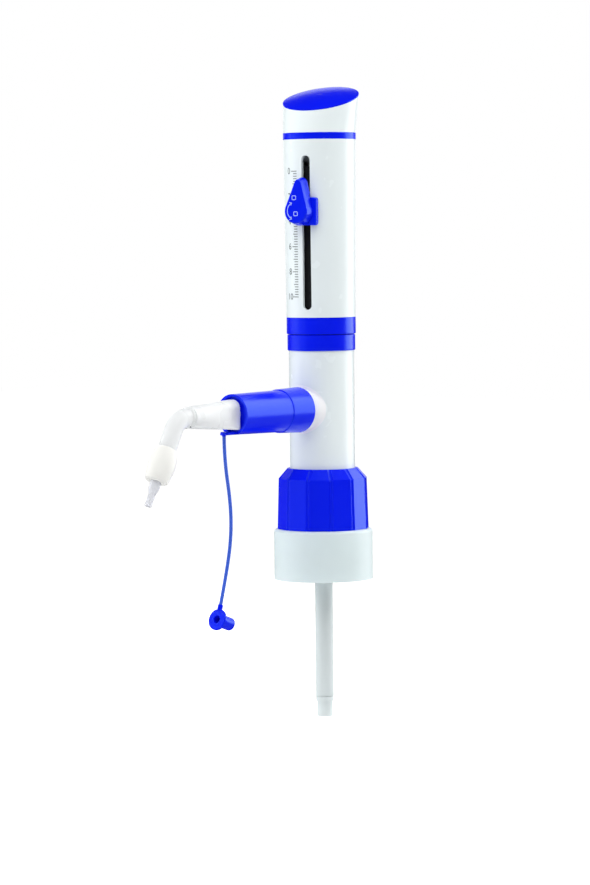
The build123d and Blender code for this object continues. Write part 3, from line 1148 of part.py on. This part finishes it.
ALL_PARTS = [
    thread_adapter, adapter_gasket, collar_nut, housing_tube, housing_ring, valve_block, intake_nipple,
    inlet_seat, inlet_ball, intake_tube, intake_extension, cylinder_seal, glass_cylinder, cylinder_guard,
    guard_bush, plunger, plunger_coupler, calibration_nut, sleeve, sleeve_ring, band_ring, head, head_cap,
    slider_block, clamp_shoe, clamp_stud, clamp_lever, outlet_stem, outlet_seat, outlet_ball, outlet_spring,
    outlet_collar, outlet_hood, outlet_duct, outlet_fitting, spout_elbow, spout_seal, nozzle_holder,
    nozzle_tip, tether_cord, stopper_cap,
]
for piece in ALL_PARTS:
    export_step(piece.part, f"parts/{piece.part.label}.step")
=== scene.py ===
"""Looks of the bottle-top dispenser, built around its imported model. Metres, in the model's frame."""
import json
from math import cos, degrees, pi, radians, sin

import bmesh
import bpy
from mathutils import Matrix, Vector


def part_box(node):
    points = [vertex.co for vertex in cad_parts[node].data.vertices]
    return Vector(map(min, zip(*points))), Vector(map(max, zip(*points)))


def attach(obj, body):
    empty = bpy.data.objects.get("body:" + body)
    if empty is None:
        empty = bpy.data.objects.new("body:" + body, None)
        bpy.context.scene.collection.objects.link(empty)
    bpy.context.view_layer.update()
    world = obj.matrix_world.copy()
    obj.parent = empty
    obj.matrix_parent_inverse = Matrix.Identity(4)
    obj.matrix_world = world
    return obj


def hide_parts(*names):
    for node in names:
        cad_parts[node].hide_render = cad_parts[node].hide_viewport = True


MM = 0.001

# Camera, fitted to the photograph's 590 by 885 frame
CAMERA_AT = Vector((-1.3497, -1.1141, 0.1777))
CAMERA_TURN = 40.0  # degrees, of the view's direction from +X towards +Y
CAMERA_PITCH = 3.51  # degrees down
CAMERA_ROLL = 0.6  # degrees
CAMERA_LENS = 138.3  # millimetres on a 36 mm long side
CAMERA_AZIMUTH = -50.0

# Slot, slider and lever
SLOT_ANGLE = 196.6  # degrees from +X
SLOT_OUT = Vector((cos(radians(SLOT_ANGLE)), sin(radians(SLOT_ANGLE)), 0))
SLOT_RIGHT = Vector((-SLOT_OUT.y, SLOT_OUT.x, 0))
LEVER_PIVOT_Z = 0.1891
MARK_LINE = 0.0004
LEVER_BOXES = [(-0.0032, 0.0069, 0.0010), (-0.00235, -0.0012, 0.0010)]
LEVER_ARC = (-0.0022, 0.00025, 0.00465, 118.0, 242.0)  # middle, radius and its two ends
MARK_HEIGHT = 0.00003
BARB_LENGTH = 0.0011  # of the arrowheads
BARB_SPREAD = 0.00088

# Scale print, in degrees round the sleeve from the slot's middle and in metres up
SCALE_TOP = 0.2096
SCALE_STEP = 0.00128
SCALE_STEPS = 50
TICKS_FROM = 16.6
TICK_TURN = {"small": 7.5, "middle": 9.5, "large": 12.0}
TICK_WIDTH = 0.00036
TICK_PARTS = 6
NUMBER_FROM = 35.0
NUMBER_SIZE = 0.0046
PRINT_HEIGHT = 0.00004

# Tether, the same route as in the model
TETHER_D = 0.0018
TETHER_ROUTE = [
    (-0.0769, 0.0, 0.0773),
    (-0.0769, 0.0, 0.0660),
    (-0.0724, 0.0, 0.0430),
    (-0.0724, 0.0, 0.0265),
    (-0.0760, 0.0, 0.0098),
    (-0.0810, 0.0, -0.0066),
]

# Thread inside the adapter
THREAD_PITCH = 0.004
THREAD_DEPTH = 0.0012
THREAD_FROM = 0.0028
THREAD_TURNS = 3.6
THREAD_BORE = 0.0226  # radius that it stands on
THREAD_PARTS = 72  # in one turn
THREAD_FADE = 8  # parts over which each end runs out

# Outlet
OUTLET_Z = 0.088
BOSS_RADIUS = 0.0125
KNEE_DOTS = [
    ((-0.10432, 0.00083, 0.08264), (-0.71, 0.12, -0.70)),
    ((-0.10463, -0.00242, 0.08349), (-0.70, -0.31, -0.64)),
]
KNEE_DOT_D = 0.0008
KNEE_DOT_H = 0.0001

# Floor and lamps
FLOOR_Z = -0.150
FLOOR_SIZE = 8.0
FLOOR_WHITE = 0.90
FLOOR_GLOW = 0.87
AMBIENT = 0.20  # of the white room, on matt surfaces
MIRRORED = 0.10  # share of the room that glossy surfaces mirror

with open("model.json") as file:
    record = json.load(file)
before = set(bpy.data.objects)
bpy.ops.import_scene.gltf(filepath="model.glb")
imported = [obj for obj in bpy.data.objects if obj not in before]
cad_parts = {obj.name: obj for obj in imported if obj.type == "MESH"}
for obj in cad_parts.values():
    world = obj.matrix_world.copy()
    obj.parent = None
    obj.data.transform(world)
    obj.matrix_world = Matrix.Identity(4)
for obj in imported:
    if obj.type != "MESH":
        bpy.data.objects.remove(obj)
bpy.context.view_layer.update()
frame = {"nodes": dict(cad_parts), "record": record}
nodes = frame["nodes"]


# Camera
def make_camera():
    data = bpy.data.cameras.new("camera")
    data.lens = CAMERA_LENS
    data.sensor_width = 36.0
    camera = bpy.data.objects.new("camera", data)
    bpy.context.scene.collection.objects.link(camera)
    turn, pitch = radians(CAMERA_TURN), radians(CAMERA_PITCH)
    look = Vector((cos(turn) * cos(pitch), sin(turn) * cos(pitch), -sin(pitch)))
    camera.location = CAMERA_AT
    camera.rotation_mode = "QUATERNION"
    level = look.to_track_quat("-Z", "Y").to_matrix()
    camera.rotation_quaternion = (level @ Matrix.Rotation(-radians(CAMERA_ROLL), 3, "Z")).to_quaternion()
    bpy.context.scene.camera = camera


make_camera()


# Node helpers for materials
class Shader:
    """A new material with its Principled node, its object coordinates and short ways to add nodes."""

    def __init__(self, name):
        self.material = bpy.data.materials.new(name)
        self.material.use_nodes = True
        self.tree = self.material.node_tree
        self.surface = self.tree.nodes["Principled BSDF"]
        self.place = self.tree.nodes.new("ShaderNodeTexCoord").outputs["Object"]

    def node(self, kind, **settings):
        made = self.tree.nodes.new("ShaderNode" + kind)
        for key, value in settings.items():
            setattr(made, key, value)
        return made

    def link(self, source, target):
        self.tree.links.new(source, target)

    def set(self, **values):
        """Sets sockets of the Principled node, with underscores for spaces."""
        for key, value in values.items():
            self.surface.inputs[key.replace("_", " ")].default_value = value

    def noise(self, scale, detail=2.0, roughness=0.5, stretch=None):
        """A noise of this many cells per metre, which may be stretched along the axes."""
        made = self.node("TexNoise")
        made.inputs["Scale"].default_value = scale
        made.inputs["Detail"].default_value = detail
        made.inputs["Roughness"].default_value = roughness
        source = self.place
        if stretch:
            mapping = self.node("Mapping")
            mapping.inputs["Scale"].default_value = stretch
            self.link(source, mapping.inputs["Vector"])
            source = mapping.outputs["Vector"]
        self.link(source, made.inputs["Vector"])
        return made.outputs["Fac"]

    def span(self, source, low, high, start=0.3, end=0.7):
        """Maps the source's start to end onto low to high."""
        made = self.node("MapRange")
        made.inputs["From Min"].default_value = start
        made.inputs["From Max"].default_value = end
        made.inputs["To Min"].default_value = low
        made.inputs["To Max"].default_value = high
        self.link(source, made.inputs["Value"])
        return made.outputs["Result"]

    def blend(self, factor, first, second):
        """A colour between two, by a factor that varies over the surface."""
        made = self.node("Mix", data_type="RGBA")
        made.inputs[6].default_value = (*first, 1.0)
        made.inputs[7].default_value = (*second, 1.0)
        self.link(factor, made.inputs[0])
        return made.outputs[2]

    def bump(self, source, height, strength=1.0, under=None):
        """A bump of this height in metres, on top of another bump if one is given."""
        made = self.node("Bump")
        made.inputs["Strength"].default_value = strength
        made.inputs["Distance"].default_value = height
        self.link(source, made.inputs["Height"])
        if under:
            self.link(under, made.inputs["Normal"])
        return made.outputs["Normal"]


def scaled(color, share):
    return tuple(channel * share for channel in color)


def moulded(name, color, roughness, grain, tint=None, shift=0.02, sheen=(1.0, 1.0, 1.0), gleam=0.5):
    """Moulded plastic: a faint flow in the colour, a slightly uneven gloss, a fine grain and slight sink."""
    shader = Shader(name)
    flow = shader.noise(26.0, 1.0, stretch=(1.0, 1.0, 0.4))
    pale = tint or scaled(color, 1.0 + shift)
    shader.link(shader.blend(shader.span(flow, 0.0, 1.0), scaled(color, 1.0 - shift), pale),
                shader.surface.inputs["Base Color"])
    gloss = shader.noise(120.0, 2.0)
    shader.link(shader.span(gloss, roughness * 0.94, roughness * 1.06), shader.surface.inputs["Roughness"])
    sink = shader.bump(shader.noise(45.0, 1.0), 0.00001)
    fine = shader.bump(shader.noise(3200.0, 1.0), grain, under=sink) if grain else sink
    shader.link(fine, shader.surface.inputs["Normal"])
    shader.set(Specular_Tint=(*sheen, 1.0), Specular_IOR_Level=gleam, IOR=1.5)
    return shader


def see_through(name, color, roughness, transmission, depth=0.0):
    """Natural translucent plastic: very slightly cloudy and uneven in its gloss."""
    shader = Shader(name)
    cloud = shader.noise(60.0, 2.0)
    shader.link(shader.blend(shader.span(cloud, 0.0, 1.0), scaled(color, 0.97), color),
                shader.surface.inputs["Base Color"])
    gloss = shader.noise(90.0, 1.0)
    shader.link(shader.span(gloss, roughness * 0.94, roughness * 1.06), shader.surface.inputs["Roughness"])
    shader.set(Transmission_Weight=transmission, IOR=1.45, Specular_IOR_Level=0.4)
    if depth:
        shader.set(Subsurface_Weight=0.35, Subsurface_Radius=(1.0, 1.0, 1.0), Subsurface_Scale=depth)
    return shader


def brushed_steel():
    shader = Shader("steel")
    brush = shader.noise(1800.0, 4.0, stretch=(0.05, 1.0, 1.0))
    shader.link(shader.blend(shader.span(brush, 0.0, 1.0), (0.50, 0.50, 0.52), (0.64, 0.64, 0.66)),
                shader.surface.inputs["Base Color"])
    shader.link(shader.span(brush, 0.26, 0.4), shader.surface.inputs["Roughness"])
    shader.link(shader.bump(brush, 0.00001), shader.surface.inputs["Normal"])
    shader.set(Metallic=1.0)
    return shader


def ground_glass():
    shader = Shader("cylinder_glass")
    film = shader.noise(200.0, 2.0)
    shader.link(shader.span(film, 0.02, 0.06), shader.surface.inputs["Roughness"])
    shader.set(Base_Color=(0.93, 0.97, 0.97, 1.0), Transmission_Weight=1.0, IOR=1.47)
    return shader


def printed(name, color):
    """Ink that is a little uneven in cover."""
    shader = Shader(name)
    cover = shader.noise(2400.0, 3.0)
    shader.link(shader.blend(shader.span(cover, 0.0, 1.0), color, scaled(color, 1.25)),
                shader.surface.inputs["Base Color"])
    shader.link(shader.span(cover, 0.45, 0.65), shader.surface.inputs["Roughness"])
    return shader


BLUE = (0.0005, 0.006, 0.93)
BLUE_SHEEN = (0.35, 0.80, 1.0)
WHITE = (0.85, 0.925, 0.935)
finishes = {
    "blue_plastic": moulded("blue_plastic", BLUE, 0.25, 0.0, tint=(0.0008, 0.009, 0.95),
                            sheen=BLUE_SHEEN, gleam=0.7),
    "white_plastic": moulded("white_plastic", WHITE, 0.26, 0.0, shift=0.004),
    "frosted_plastic": see_through("frosted_plastic", (0.83, 0.98, 1.00), 0.42, 0.10, 0.006),
    "tube_plastic": see_through("tube_plastic", (0.88, 0.99, 1.00), 0.30, 0.08, 0.003),
    "nozzle_plastic": see_through("nozzle_plastic", (0.90, 0.92, 1.00), 0.30, 0.12, 0.003),
    "connector_plastic": moulded("connector_plastic", (0.95, 0.95, 0.91), 0.42, 0.000002, shift=0.006),
    "spout_plastic": see_through("spout_plastic", (0.93, 0.96, 0.97), 0.28, 0.05, 0.004),
    "black_plastic": moulded("black_plastic", (0.012, 0.012, 0.013), 0.50, 0.000008, shift=0.2),
    "tether_plastic": moulded("tether_plastic", (0.045, 0.13, 0.72), 0.42, 0.000002, shift=0.03),
    "seal_rubber": moulded("seal_rubber", (0.02, 0.02, 0.02), 0.70, 0.000012, shift=0.2),
    "fluoroplastic": moulded("fluoroplastic", (0.88, 0.89, 0.88), 0.38, 0.000005, shift=0.02),
    "cylinder_glass": ground_glass(),
    "ceramic": moulded("ceramic", (0.86, 0.84, 0.78), 0.20, 0.000002, shift=0.02),
    "steel": brushed_steel(),
}
ink_grey = printed("ink_grey", (0.10, 0.12, 0.12))
ink_white = printed("ink_white", (0.36, 0.44, 0.92))


def tube_with_painted_boss_light():
    """The tube's plastic with painted light: paler over the boss round the outlet, as if the boss were lit
    more brightly.
    """
    shader = moulded("tube_painted_boss_light", WHITE, 0.26, 0.0, shift=0.004)
    plain = shader.surface.inputs["Base Color"].links[0].from_socket
    middle = Vector((0, 0, OUTLET_Z)) - nodes["housing_tube"].matrix_world.translation
    shift = shader.node("VectorMath", operation="SUBTRACT")
    shift.inputs[1].default_value = middle
    shader.link(shader.place, shift.inputs[0])
    across = shader.node("VectorMath", operation="MULTIPLY")
    across.inputs[1].default_value = (0.0, 1.0, 1.0)
    shader.link(shift.outputs[0], across.inputs[0])
    reach = shader.node("VectorMath", operation="LENGTH")
    shader.link(across.outputs[0], reach.inputs[0])
    ring = shader.span(reach.outputs["Value"], 1.0, 0.0, BOSS_RADIUS - 0.0002, BOSS_RADIUS)
    side = shader.node("SeparateXYZ")
    shader.link(shift.outputs[0], side.inputs[0])
    near = shader.span(side.outputs["X"], 1.0, 0.0, -0.0060, -0.0050)
    both = shader.node("Math", operation="MULTIPLY")
    shader.link(ring, both.inputs[0])
    shader.link(near, both.inputs[1])
    # Painted light: a near-white colour over the boss, standing in for the light it catches.
    painted_boss_light = shader.node("Mix", data_type="RGBA")
    painted_boss_light.inputs[7].default_value = (0.99, 1.0, 1.0, 1.0)
    shader.link(both.outputs[0], painted_boss_light.inputs[0])
    shader.link(plain, painted_boss_light.inputs[6])
    shader.link(painted_boss_light.outputs[2], shader.surface.inputs["Base Color"])
    return shader


def dress_nodes():
    """Gives every node of the model the finish of its slot."""
    slots = {row["node"]: row["material_slot"] for row in frame["record"]["subparts"]}
    for name, node in nodes.items():
        node.data.materials.clear()
        node.data.materials.append(finishes[slots[name]].material)
    # The housing tube takes the plastic with painted light over its boss.
    nodes["housing_tube"].data.materials[0] = tube_with_painted_boss_light().material


dress_nodes()


# Meshes
def add_piece(name, mesh, shader, body):
    """Links a finished mesh as a piece that rides on a body."""
    piece = bpy.data.objects.new(name, mesh)
    bpy.context.scene.collection.objects.link(piece)
    mesh.materials.clear()
    mesh.materials.append(shader.material)
    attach(piece, body)
    return piece


# Tether: one hanging cord from the hood's tab to the stopper
def make_tether():
    curve = bpy.data.curves.new("tether", "CURVE")
    curve.dimensions = "3D"
    curve.resolution_u = 24
    curve.bevel_depth = TETHER_D / 2
    curve.bevel_resolution = 6
    curve.use_fill_caps = True
    spline = curve.splines.new("NURBS")
    spline.points.add(len(TETHER_ROUTE) - 1)
    for point, place in zip(spline.points, TETHER_ROUTE):
        point.co = (*place, 1.0)
    spline.order_u = 3
    spline.use_endpoint_u = True
    tether = bpy.data.objects.new("tether", curve)
    bpy.context.scene.collection.objects.link(tether)
    curve.materials.append(finishes["tether_plastic"].material)
    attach(tether, "housing")
    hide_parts("tether_cord")


make_tether()


# Scale print on the sleeve
def sleeve_taper():
    """The sleeve's outer radius at two heights, read from its own corners."""
    corners = [corner.co for corner in nodes["sleeve"].data.vertices]
    top = max(corner.z for corner in corners)
    ring_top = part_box("sleeve_ring")[1].z

    def radius(height):
        near = [corner.xy.length for corner in corners if abs(corner.z - height) < 0.1 * MM]
        return max(near)

    return (ring_top, radius(ring_top)), (top, radius(top))


SLEEVE_LOW, SLEEVE_HIGH = sleeve_taper()


def sleeve_radius(height):
    share = (height - SLEEVE_LOW[0]) / (SLEEVE_HIGH[0] - SLEEVE_LOW[0])
    return SLEEVE_LOW[1] + share * (SLEEVE_HIGH[1] - SLEEVE_LOW[1])


def on_sleeve(turn, height, proud=0.0):
    """A point on the sleeve, this many degrees to the left of the slot's middle as seen from outside."""
    angle = radians(SLOT_ANGLE - turn)
    radius = sleeve_radius(height) + proud
    return Vector((radius * cos(angle), radius * sin(angle), height))


def close_slab(built, rows, closed=False):
    """Faces round a row of four-cornered sections, with its two ends shut unless it runs round."""
    pairs = list(zip(rows, rows[1:]))
    if closed:
        pairs.append((rows[-1], rows[0]))
    for row, after in pairs:
        for side in range(4):
            other = (side + 1) % 4
            built.faces.new((row[side], after[side], after[other], row[other]))
    if not closed:
        built.faces.new(list(reversed(rows[0])))
        built.faces.new(rows[-1])


def print_tick(built, height, turn):
    """One tick as a thin curved slab."""
    rows = []
    for step in range(TICK_PARTS + 1):
        at = TICKS_FROM + turn * step / TICK_PARTS
        low, high = height - TICK_WIDTH / 2, height + TICK_WIDTH / 2
        rows.append([
            built.verts.new(on_sleeve(at, low)),
            built.verts.new(on_sleeve(at, low, PRINT_HEIGHT)),
            built.verts.new(on_sleeve(at, high, PRINT_HEIGHT)),
            built.verts.new(on_sleeve(at, high)),
        ])
    close_slab(built, rows)


def text_mesh(words, size, thickness):
    """Flat letters as a mesh, as wide as they come out, with their middle height at zero."""
    curve = bpy.data.curves.new("letters", "FONT")
    curve.body = words
    curve.size = size
    curve.extrude = thickness / 2
    curve.align_x = "RIGHT"
    curve.align_y = "CENTER"
    curve.resolution_u = 6
    letters = bpy.data.objects.new("letters", curve)
    bpy.context.scene.collection.objects.link(letters)
    bpy.context.view_layer.update()
    mesh = bpy.data.meshes.new_from_object(letters)
    bpy.data.objects.remove(letters)
    bpy.data.curves.remove(curve)
    return mesh


def print_number(built, words, height):
    """A number wrapped on the sleeve to the left of a large tick."""
    mesh = text_mesh(words, NUMBER_SIZE, PRINT_HEIGHT)
    middle = sum((max(v.co.x for v in mesh.vertices), min(v.co.x for v in mesh.vertices))) / 2
    placed = bmesh.new()
    placed.from_mesh(mesh)
    for corner in placed.verts:
        level = height + corner.co.y
        turn = NUMBER_FROM - degrees((corner.co.x - middle) / sleeve_radius(level))
        corner.co = on_sleeve(turn, level, corner.co.z + PRINT_HEIGHT / 2)
    placed.to_mesh(mesh)
    placed.free()
    built.from_mesh(mesh)
    bpy.data.meshes.remove(mesh)


def make_scale():
    built = bmesh.new()
    for step in range(SCALE_STEPS + 1):
        height = SCALE_TOP - step * SCALE_STEP
        kind = "large" if step % 10 == 0 else "middle" if step % 5 == 0 else "small"
        print_tick(built, height, TICK_TURN[kind])
        if kind == "large":
            print_number(built, str(step // 5), height)
    bmesh.ops.recalc_face_normals(built, faces=built.faces)
    mesh = bpy.data.meshes.new("scale_print")
    built.to_mesh(mesh)
    built.free()
    add_piece("scale_print", mesh, ink_grey, "plunger_sleeve")


make_scale()


# Adapter thread: a ridge that winds up inside the cup
def make_thread():
    low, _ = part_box("thread_adapter")
    section = [(0.00006, -0.0011), (-THREAD_DEPTH, -0.0004), (-THREAD_DEPTH, 0.0004), (0.00006, 0.0011)]
    built = bmesh.new()
    rows = []
    total = int(THREAD_PARTS * THREAD_TURNS)
    for step in range(total + 1):
        angle = 2 * pi * step / THREAD_PARTS
        fade = min(1.0, step / THREAD_FADE, (total - step) / THREAD_FADE)
        row = []
        for inward, up in section:
            radius = THREAD_BORE + (inward * fade if inward < 0 else inward)
            height = low.z + THREAD_FROM + THREAD_PITCH * step / THREAD_PARTS + up
            row.append(built.verts.new((radius * cos(angle), radius * sin(angle), height)))
        rows.append(row)
    for row, after in zip(rows, rows[1:]):
        for side in range(4):
            other = (side + 1) % 4
            built.faces.new((row[side], row[other], after[other], after[side]))
    built.faces.new(list(reversed(rows[0])))
    built.faces.new(rows[-1])
    bmesh.ops.recalc_face_normals(built, faces=built.faces)
    mesh = bpy.data.meshes.new("bottle_thread_ridge")
    built.to_mesh(mesh)
    built.free()
    ridge = finishes["frosted_plastic"]
    piece = add_piece("bottle_thread_ridge", mesh, ridge, "bottle_collar")
    for face in piece.data.polygons:
        face.use_smooth = True


make_thread()


# Lever marks: the way to turn it, an arc with two arrowheads and an open mark at each end
def lever_face():
    """How far the lever's flat face stands from the axis, read from its own corners."""
    return max(corner.co.dot(SLOT_OUT) for corner in nodes["clamp_lever"].data.vertices)


def on_lever(across, up, proud=0.0):
    """A point on the lever's face, to the right of and above its pivot as seen from outside."""
    return SLOT_OUT * (lever_face() + proud) + SLOT_RIGHT * across + Vector((0, 0, LEVER_PIVOT_Z + up))


def print_line(built, points, line=MARK_LINE, closed=False):
    """A printed line along flat points of the lever's face, as a thin slab."""
    rows = []
    count = len(points)
    for index, (across, up) in enumerate(points):
        before = points[index - 1] if index or closed else points[index]
        after = points[(index + 1) % count] if index + 1 < count or closed else points[index]
        run = Vector((after[0] - before[0], after[1] - before[1])).normalized() * line / 2
        left, right = (across - run.y, up + run.x), (across + run.y, up - run.x)
        rows.append([
            built.verts.new(on_lever(*left)),
            built.verts.new(on_lever(*left, MARK_HEIGHT)),
            built.verts.new(on_lever(*right, MARK_HEIGHT)),
            built.verts.new(on_lever(*right)),
        ])
    close_slab(built, rows, closed)


def arc_points(across, up, radius, start, stop, parts=24):
    """Points along an arc, its angles in degrees from the right towards up."""
    turns = [radians(start + (stop - start) * step / parts) for step in range(parts + 1)]
    return [(across + radius * cos(turn), up + radius * sin(turn)) for turn in turns]


def box_points(across, up, half, corner):
    """Points round a square with rounded corners."""
    points = []
    for quarter, (x, y) in enumerate(((1, 1), (-1, 1), (-1, -1), (1, -1))):
        middle = (across + x * (half - corner), up + y * (half - corner))
        points += arc_points(*middle, corner, 90 * quarter, 90 * quarter + 90, 5)
    return points


def make_lever_marks():
    built = bmesh.new()
    for across, up, half in LEVER_BOXES:
        print_line(built, box_points(across, up, half, half * 0.45), closed=True)
    across, up, radius, start, stop = LEVER_ARC
    print_line(built, arc_points(across, up, radius, start, stop))
    for turn, lean in ((start, -1), (stop, 1)):
        tip = Vector(arc_points(across, up, radius, turn, turn, 1)[0])
        along = Vector((-sin(radians(turn)), cos(radians(turn)))) * lean
        side = Vector((-along.y, along.x))
        back = tip - along * BARB_LENGTH
        print_line(built, [tuple(back + side * BARB_SPREAD), tuple(tip), tuple(back - side * BARB_SPREAD)])
    bmesh.ops.recalc_face_normals(built, faces=built.faces)
    mesh = bpy.data.meshes.new("lever_marks")
    built.to_mesh(mesh)
    built.free()
    add_piece("lever_marks", mesh, ink_white, "clamp_lever")


make_lever_marks()


# Two small dark grey dots under the spout's knee
def make_knee_dots():
    built = bmesh.new()
    for place, facing in KNEE_DOTS:
        turn = Vector(facing).to_track_quat("Z", "Y").to_matrix().to_4x4()
        radius = KNEE_DOT_D / 2
        bmesh.ops.create_cone(built, cap_ends=True, segments=24, radius1=radius, radius2=radius,
                              depth=KNEE_DOT_H, matrix=Matrix.Translation(place) @ turn)
    mesh = bpy.data.meshes.new("knee_dots")
    built.to_mesh(mesh)
    built.free()
    add_piece("knee_dots", mesh, ink_grey, "spout")


make_knee_dots()


# Floor, lamps and background
def seen_directly(tree):
    """One for rays from the camera and through clear pieces, and one for rays off a gloss, else zero."""
    path = tree.nodes.new("ShaderNodeLightPath")
    either = tree.nodes.new("ShaderNodeMath")
    either.operation = "MAXIMUM"
    tree.links.new(path.outputs["Is Camera Ray"], either.inputs[0])
    tree.links.new(path.outputs["Is Transmission Ray"], either.inputs[1])
    return either.outputs[0], path.outputs["Is Glossy Ray"]


def make_floor():
    half = FLOOR_SIZE / 2
    mesh = bpy.data.meshes.new("floor")
    corners = [(-half, -half), (half, -half), (half, half), (-half, half)]
    mesh.from_pydata([(*corner, FLOOR_Z) for corner in corners], [], [(0, 1, 2, 3)])
    floor = bpy.data.objects.new("floor", mesh)
    bpy.context.scene.collection.objects.link(floor)
    material = bpy.data.materials.new("floor")
    material.use_nodes = True
    tree = material.node_tree
    tree.nodes.clear()
    output = tree.nodes.new("ShaderNodeOutputMaterial")
    plain = tree.nodes.new("ShaderNodeBsdfDiffuse")
    glow = tree.nodes.new("ShaderNodeEmission")
    glow.inputs["Color"].default_value = (1.0, 1.0, 1.0, 1.0)
    direct, glossy = seen_directly(tree)
    tone = tree.nodes.new("ShaderNodeMix")
    tone.data_type = "RGBA"
    tone.inputs[6].default_value = (FLOOR_WHITE, FLOOR_WHITE, FLOOR_WHITE, 1.0)
    tone.inputs[7].default_value = (*scaled((FLOOR_WHITE,) * 3, MIRRORED), 1.0)
    tree.links.new(glossy, tone.inputs[0])
    tree.links.new(tone.outputs[2], plain.inputs["Color"])
    level = tree.nodes.new("ShaderNodeMath")
    level.operation = "MULTIPLY"
    level.inputs[1].default_value = FLOOR_GLOW
    tree.links.new(direct, level.inputs[0])
    tree.links.new(level.outputs[0], glow.inputs["Strength"])
    both = tree.nodes.new("ShaderNodeAddShader")
    tree.links.new(plain.outputs[0], both.inputs[0])
    tree.links.new(glow.outputs[0], both.inputs[1])
    tree.links.new(both.outputs[0], output.inputs["Surface"])
    mesh.materials.append(material)


def make_world():
    world = bpy.data.worlds.new("studio")
    bpy.context.scene.world = world
    world.use_nodes = True
    world.cycles.sampling_method = "NONE"
    tree = world.node_tree
    background = tree.nodes["Background"]
    background.inputs["Color"].default_value = (1.0, 1.0, 1.0, 1.0)
    direct, glossy = seen_directly(tree)
    level = tree.nodes.new("ShaderNodeMapRange")
    level.inputs["To Min"].default_value = AMBIENT
    level.inputs["To Max"].default_value = 1.0
    tree.links.new(direct, level.inputs["Value"])
    dim = tree.nodes.new("ShaderNodeMapRange")
    dim.inputs["To Min"].default_value = 1.0
    dim.inputs["To Max"].default_value = MIRRORED
    tree.links.new(glossy, dim.inputs["Value"])
    strength = tree.nodes.new("ShaderNodeMath")
    strength.operation = "MULTIPLY"
    tree.links.new(level.outputs["Result"], strength.inputs[0])
    tree.links.new(dim.outputs["Result"], strength.inputs[1])
    tree.links.new(strength.outputs[0], background.inputs["Strength"])


def softbox(name, azimuth, elevation, distance, width, height, power, mirrored=True):
    """An area lamp round the object, its azimuth from the camera towards the right, in degrees and metres."""
    data = bpy.data.lights.new(name, "AREA")
    data.shape = "RECTANGLE"
    data.size = width
    data.size_y = height
    data.energy = power
    lamp = bpy.data.objects.new(name, data)
    bpy.context.scene.collection.objects.link(lamp)
    turn, rise = radians(CAMERA_AZIMUTH + azimuth), radians(elevation)
    back = Vector((sin(turn) * cos(rise), -cos(turn) * cos(rise), sin(rise)))
    lamp.visible_camera = False
    lamp.visible_glossy = mirrored
    lamp.location = Vector((0, 0, 0.12)) + back * distance
    lamp.rotation_mode = "QUATERNION"
    lamp.rotation_quaternion = (-back).to_track_quat("-Z", "Y")


make_floor()
make_world()
softbox("left_high_fill", -35, 48, 1.5, 1.0, 1.0, 8.0, mirrored=False)
softbox("right_high_fill", 30, 48, 1.5, 1.0, 1.0, 7.0, mirrored=False)
softbox("left_fill", -105, 10, 1.3, 0.8, 1.2, 10.0, mirrored=False)
softbox("top_fill", 20, 70, 1.2, 0.8, 0.8, 2.5, mirrored=False)
softbox("low_fill", 0, -50, 1.3, 1.2, 1.2, 5.0, mirrored=False)
softbox("left_box", -85, 10, 1.3, 1.6, 1.6, 2.0)
softbox("right_box", 112, 18, 1.1, 0.9, 1.5, 11.0)
softbox("back_box", 180, 14, 1.5, 1.6, 0.8, 3.5)

bpy.context.scene.view_settings.view_transform = "Standard"
